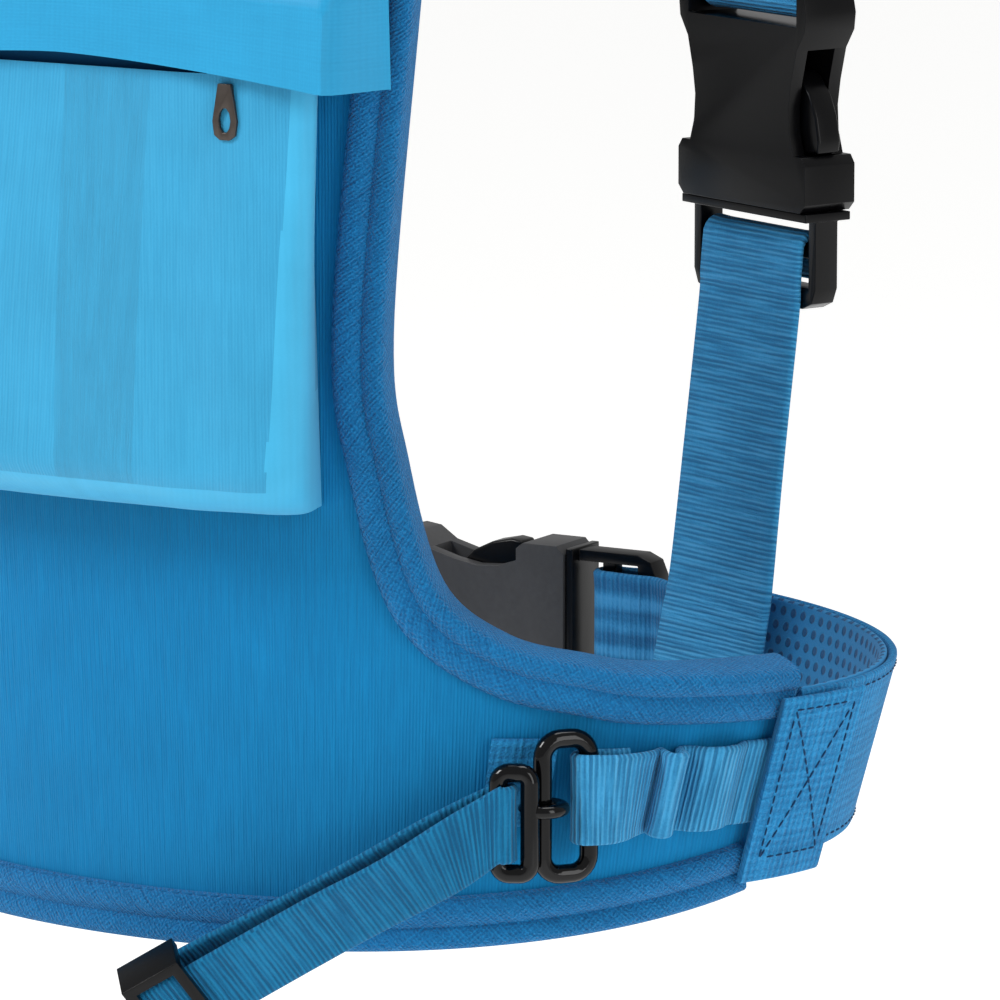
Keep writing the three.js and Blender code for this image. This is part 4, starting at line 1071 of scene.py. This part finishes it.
hook("near", near_frame, "near_hook", "near_gate", ["near_hook", "near_hook_gate"])
strap_along = level(TETHER_TURN) * math.cos(math.radians(TETHER_SLOPE)) - UP * math.sin(math.radians(TETHER_SLOPE))
facing = level(TETHER_TURN + 90)
steep = facing.cross(strap_along) * -1
strap_across = steep * math.cos(math.radians(TETHER_ROLL)) + facing * math.sin(math.radians(TETHER_ROLL))
strap_out = strap_along.cross(strap_across) * -1
WRAP_EYE = ROD + CLEAR + WEB / 2
WRAP_GLIDE = 1.2 * math.sqrt(2) + CLEAR + WEB / 2
FRONT = 1.3
GLIDE_BAR = FRONT - WEB - CLEAR - WRAP_GLIDE


def strap_place(distance, out):
    outwards = facing.lerp(strap_out, max(0, min(1, distance / 24))).normalized()
    return eye_leg + strap_along * distance + outwards * out


def strap_side(distance):
    return UP.lerp(strap_across, max(0, min(1, distance / 24)))


def eye_arc(start, end):
    return [eye_leg + (level(TETHER_TURN) * math.cos(a) + facing * math.sin(a)) * WRAP_EYE
            for a in [math.radians(lerp(start, end, i / 5)) for i in range(6)]]


def plan_arc(distance, out, radius, start, end):
    return [(distance + radius * math.cos(a), out + radius * math.sin(a))
            for a in [math.radians(lerp(start, end, i / 8)) for i in range(9)]]


def tether(name, first, plan, node):
    points = first + [strap_place(d, out) for d, out in plan]
    sides = [UP] * len(first) + [strap_side(d) for d, _ in plan]
    return webbing(name, points, sides, 17, WEB, strap_webbing, None, [node], ridge=0.15)


front_layer = tether("strap front layer", eye_arc(178, 90), [
    (6, 3.1), (24, 2.4), (45, FRONT), (80, FRONT), (116, FRONT), (140, WRAP_EYE - 0.6),
    *plan_arc(150, 0, WRAP_EYE, 80, -80), (142, -2.2), (135, FRONT - WEB - 0.6), (120, FRONT - WEB - 0.6)],
    "tether_strap")
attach(front_layer, "tether")
back_layer = tether("strap rear layer", eye_arc(192, 270), [
    (6, -3.2), (24, -3.2), (45, -3.6), (69, GLIDE_BAR - WRAP_GLIDE + 0.6),
    *plan_arc(SLIDER_AT, GLIDE_BAR, WRAP_GLIDE, -100, 80), (75, FRONT - WEB - CLEAR)], "tether_back_layer")
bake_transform(back_layer)
hard_copy("tri_glide", "slide buckle", "slide_buckle", plastic, 0.45, 3)
far_frame = basis(strap_place(TETHER_LENGTH, 0), strap_along, strap_across)
hook("far", far_frame, "far_hook", "far_gate", ["far_hook", "far_hook_gate"])

# ---------------------------------------------------------------- floor, light
floor_bm = bmesh.new()
bmesh.ops.create_grid(floor_bm, x_segments=1, y_segments=1, size=12)
bmesh.ops.translate(floor_bm, vec=(0, 0, -0.55), verts=floor_bm.verts)
floor = finish_mesh("floor", floor_bm, [], None)
white = bpy.data.materials.new("white floor")
white.use_nodes = True
paint = white.node_tree.nodes["Principled BSDF"]
paint.inputs["Base Color"].default_value = (0.9, 0.9, 0.9, 1)
paint.inputs["Roughness"].default_value = 0.9
paint.inputs["Emission Color"].default_value = (1, 1, 0.985, 1)
paint.inputs["Emission Strength"].default_value = 0.5
floor.data.materials.append(white)

world = bpy.data.worlds.new("soft light")
bpy.context.scene.world = world
world.use_nodes = True
world.node_tree.nodes["Background"].inputs["Color"].default_value = (1, 1, 1, 1)
world.node_tree.nodes["Background"].inputs["Strength"].default_value = 0.5
bpy.context.scene.view_settings.view_transform = "Standard"


def lamp(name, place, target, size, power):
    data = bpy.data.lights.new(name, "AREA")
    data.shape = "RECTANGLE"
    data.size, data.size_y = size
    data.energy = power
    made = bpy.data.objects.new(name, data)
    bpy.context.scene.collection.objects.link(made)
    made.location = place
    made.rotation_euler = (Vector(target) - Vector(place)).to_track_quat("-Z", "Y").to_euler()
    return made


lamp("key", (-1.1, -1.5, 1.5), (0, 0, 0), (0.8, 0.8), 40)
lamp("fill", (2.0, -0.7, 0.6), (0, 0, 0), (0.7, 1.6), 16)
lamp("top", (0.2, 0.4, 2.0), (0, 0, 0), (1.0, 1.0), 18)
